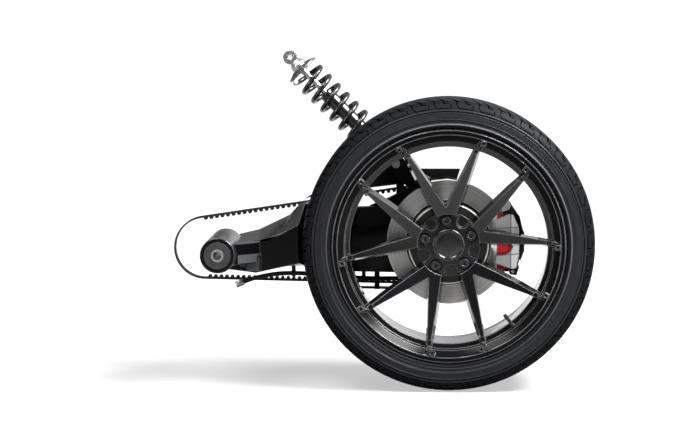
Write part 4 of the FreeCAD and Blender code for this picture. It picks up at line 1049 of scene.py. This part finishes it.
def floor_paint():
    """White floor that keeps the shadow and is clear when seen from below."""
    mat = bpy.data.materials.new("studio_floor_white")
    mat.use_nodes = True
    made = Wiring(mat.node_tree)
    made.tree.nodes.clear()
    rays = made.node("LightPath").outputs
    away = made.node("VectorMath", made.spot(), UNDER_WHEEL, operation="DISTANCE")
    far = made.span(away.outputs["Value"], *FLOOR_FADE, "SMOOTHSTEP")
    behind = made.span(made.axes()[1], *FLOOR_MIRRORED, "SMOOTHSTEP")
    lift = made.maths("MULTIPLY", rays["Is Camera Ray"], far)
    lift = made.maths("MULTIPLY_ADD", behind, rays["Is Glossy Ray"], lift)
    matt = made.node("BsdfDiffuse", FLOOR_GREY).outputs[0]
    glow = made.node("Emission", None, lift).outputs[0]
    above = made.node("AddShader", matt, glow).outputs[0]
    clear = made.node("BsdfTransparent").outputs[0]
    below = made.node("NewGeometry").outputs["Backfacing"]
    made.node("OutputMaterial", made.node("MixShader", below, above, clear).outputs[0])
    return mat


def hang_lamp(name, place, wide, high, power):
    """A soft rectangular lamp that looks at the axle."""
    light = bpy.data.lights.new(name, "AREA")
    light.shape = "RECTANGLE"
    light.size = wide
    light.size_y = high
    light.energy = power
    thing = bpy.data.objects.new(name, light)
    thing.location = place
    thing.rotation_euler = (AXLE - Vector(place)).to_track_quat("-Z", "Y").to_euler()
    bpy.context.scene.collection.objects.link(thing)


def photo_camera():
    """The camera of the photograph."""
    eye = bpy.data.cameras.new("photo_camera")
    eye.sensor_width = SENSOR_WIDTH
    eye.lens = studio_set().focal
    eye.clip_end = CAMERA_REACH
    camera = bpy.data.objects.new("photo_camera", eye)
    camera.location = CAMERA_PLACE
    camera.rotation_euler = Euler((CAMERA_TILT, 0, CAMERA_TURN), "XYZ")
    bpy.context.scene.collection.objects.link(camera)
    return camera


class REARUNIT_OT_finishes(bpy.types.Operator):
    """Give every node of the frame its finish"""
    bl_idname = "rear_unit.finishes"
    bl_label = "Finishes"

    def execute(self, context):
        make_finishes()
        missing = sorted(set(NODES) - set(NODE_FINISH))
        if missing:
            raise RuntimeError("nodes with no finish: %s" % missing)
        for node, name in NODE_FINISH.items():
            if node in NODES:
                put_finish(NODES[node], name)
        return {"FINISHED"}


class REARUNIT_OT_tyre(bpy.types.Operator):
    """Build the tyre with its tread"""
    bl_idname = "rear_unit.tyre"
    bl_label = "Tyre"

    def execute(self, context):
        mesh = build_tyre()
        for face in mesh.polygons:
            # Faces on the bead by the rim take the painted shade.
            if abs(face.center.y) / MM > BEAD_DEPTH and ring_radius(mesh, face) < BEAD_TOP:
                face.material_index = 1
        add_piece("tyre_dressed", mesh, "wheel", ["tyre_rubber", "tyre_bead_rubber"],
                  replaces=("tyre",))
        return {"FINISHED"}


class REARUNIT_OT_rim(bpy.types.Operator):
    """Round the rim's edges and build the centre cap"""
    bl_idname = "rear_unit.rim"
    bl_label = "Rim and cap"

    def execute(self, context):
        # The rounded edges become material 1, which carries the painted highlight.
        mesh = rounded_copy("rim", RIM_EDGE_WIDTH)
        for face in mesh.polygons:
            radius = ring_radius(mesh, face)
            depth = -face.center.y / MM
            in_well = (WELL_RADII[0] < radius < WELL_RADII[1]
                       and WELL_DEPTHS[0] < depth < WELL_DEPTHS[1])
            on_lip = LIP_RADII[0] < radius < LIP_RADII[1] and depth > LIP_DEPTH
            # The lip and the well behind it take the painted shade.
            if (in_well or on_lip) and face.material_index == 0:
                face.material_index = 2
        finishes = ["gloss_black_paint", "rim_edge_polish", "rim_well_paint"]
        add_piece("rim_dressed", mesh, "wheel", finishes, replaces=("rim",))
        low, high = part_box("centre_cap")
        radius = (high.x - low.x) / 2 / MM
        face = low.y / MM
        back = high.y / MM
        section = [(radius * share, face + depth) for share, depth in CAP_FRONT]
        section += [(radius * share, back - depth) for share, depth in CAP_BACK]
        cap = turned(section, CAP_TURNS, smooth=35)
        add_piece("cap_dressed", cap, "wheel", ["cap_gloss_plastic"], replaces=("centre_cap",))
        return {"FINISHED"}


class REARUNIT_OT_arm(bpy.types.Operator):
    """Round the edges of the swingarm and the brake caliper"""
    bl_idname = "rear_unit.arm"
    bl_label = "Swingarm and caliper"

    def execute(self, context):
        # The arm's rounded edges take a lighter coat as a painted highlight.
        for name, node, width, finishes in (
                ("arm_dressed", "swingarm_arm", ARM_EDGE_WIDTH,
                 ["arm_powder_coat", "arm_edge_polish"]),
                ("caliper_dressed", "caliper_housing", CALIPER_EDGE_WIDTH,
                 ["caliper_cast_alloy", "caliper_machined_edge"])):
            add_piece(name, rounded_copy(node, width), "swingarm", finishes, replaces=(node,))
        return {"FINISHED"}


class REARUNIT_OT_fasteners(bpy.types.Operator):
    """Add the pins, bolts, fittings and the collar that the solids leave out"""
    bl_idname = "rear_unit.fasteners"
    bl_label = "Fasteners and fittings"

    def execute(self, context):
        put_fasteners("pad_pins", PAD_PINS, PAD_PIN_HEAD, "socket", (math.pi, 0, 0))
        put_fasteners("slide_pin_bolts", SLIDE_PINS, SLIDE_PIN_HEAD)
        tab = plate(PAD_TAB, *PAD_TAB_FACES, PAD_TAB_BEVEL)
        nipple = aimed(lathed(NIPPLE), NIPPLE_SEAT, (0, 1, 0))
        for name, mesh, finish_name, like in (
                ("pad_tab", tab, "caliper_cast_alloy", "caliper_bracket"),
                ("hose_fittings", hose_fittings(), "zinc_plate", "pinch_bolts"),
                ("bleed_nipple", nipple, "zinc_plate", "pinch_bolts"),
                ("preload_collar", preload_collar(), "sprocket_hard_coat", "lower_spring_seat")):
            add_piece(name, mesh, "swingarm", [finish_name])
        return {"FINISHED"}


class REARUNIT_OT_studio(bpy.types.Operator):
    """Set the floor, lights and camera"""
    bl_idname = "rear_unit.studio"
    bl_label = "Studio"

    def execute(self, context):
        scene = context.scene
        level = TYRE_LOW.z - FLOOR_GAP
        mesh = bpy.data.meshes.new("studio_floor")
        mesh.from_pydata([(x, y, level) for x, y in FLOOR_CORNERS], [], [(0, 1, 2, 3)])
        floor = bpy.data.objects.new("studio_floor", mesh)
        scene.collection.objects.link(floor)
        mesh.materials.append(floor_paint())
        scene.world = studio_air()
        for name, place, wide, high, power in LAMPS:
            hang_lamp(name, place, wide, high, getattr(studio_set(), power))
        scene.camera = photo_camera()
        scene.view_settings.view_transform = "Standard"
        return {"FINISHED"}


class REARUNIT_PT_panel(bpy.types.Panel):
    """Lists the steps that dress the rear wheel unit"""
    bl_label = "Rear Wheel Unit"
    bl_idname = "REARUNIT_PT_panel"
    bl_space_type = "VIEW_3D"
    bl_region_type = "UI"
    bl_category = "Rear Unit"

    def draw(self, context):
        for step in STEPS:
            self.layout.operator(step.bl_idname)


SETTINGS = (TyreSettings, FinishSettings, StudioSettings)
STEPS = (
    REARUNIT_OT_finishes, REARUNIT_OT_tyre, REARUNIT_OT_rim, REARUNIT_OT_arm,
    REARUNIT_OT_fasteners, REARUNIT_OT_studio)


def register():
    for kind in SETTINGS + STEPS + (REARUNIT_PT_panel,):
        bpy.utils.register_class(kind)
    scene = bpy.types.Scene
    scene.rear_unit_tyre = bpy.props.PointerProperty(type=TyreSettings)
    scene.rear_unit_finish = bpy.props.PointerProperty(type=FinishSettings)
    scene.rear_unit_studio = bpy.props.PointerProperty(type=StudioSettings)


def unregister():
    for name in ("rear_unit_tyre", "rear_unit_finish", "rear_unit_studio"):
        delattr(bpy.types.Scene, name)
    for kind in (REARUNIT_PT_panel,) + STEPS[::-1] + SETTINGS[::-1]:
        bpy.utils.unregister_class(kind)


def main():
    for thing in list(bpy.data.objects):
        if thing.type in {"CAMERA", "LIGHT"} or thing.name == "Cube":
            bpy.data.objects.remove(thing)
    register()
    bpy.ops.rear_unit.finishes()
    bpy.ops.rear_unit.tyre()
    bpy.ops.rear_unit.rim()
    bpy.ops.rear_unit.arm()
    bpy.ops.rear_unit.fasteners()
    bpy.ops.rear_unit.studio()


if __name__ == "__main__":
    main()
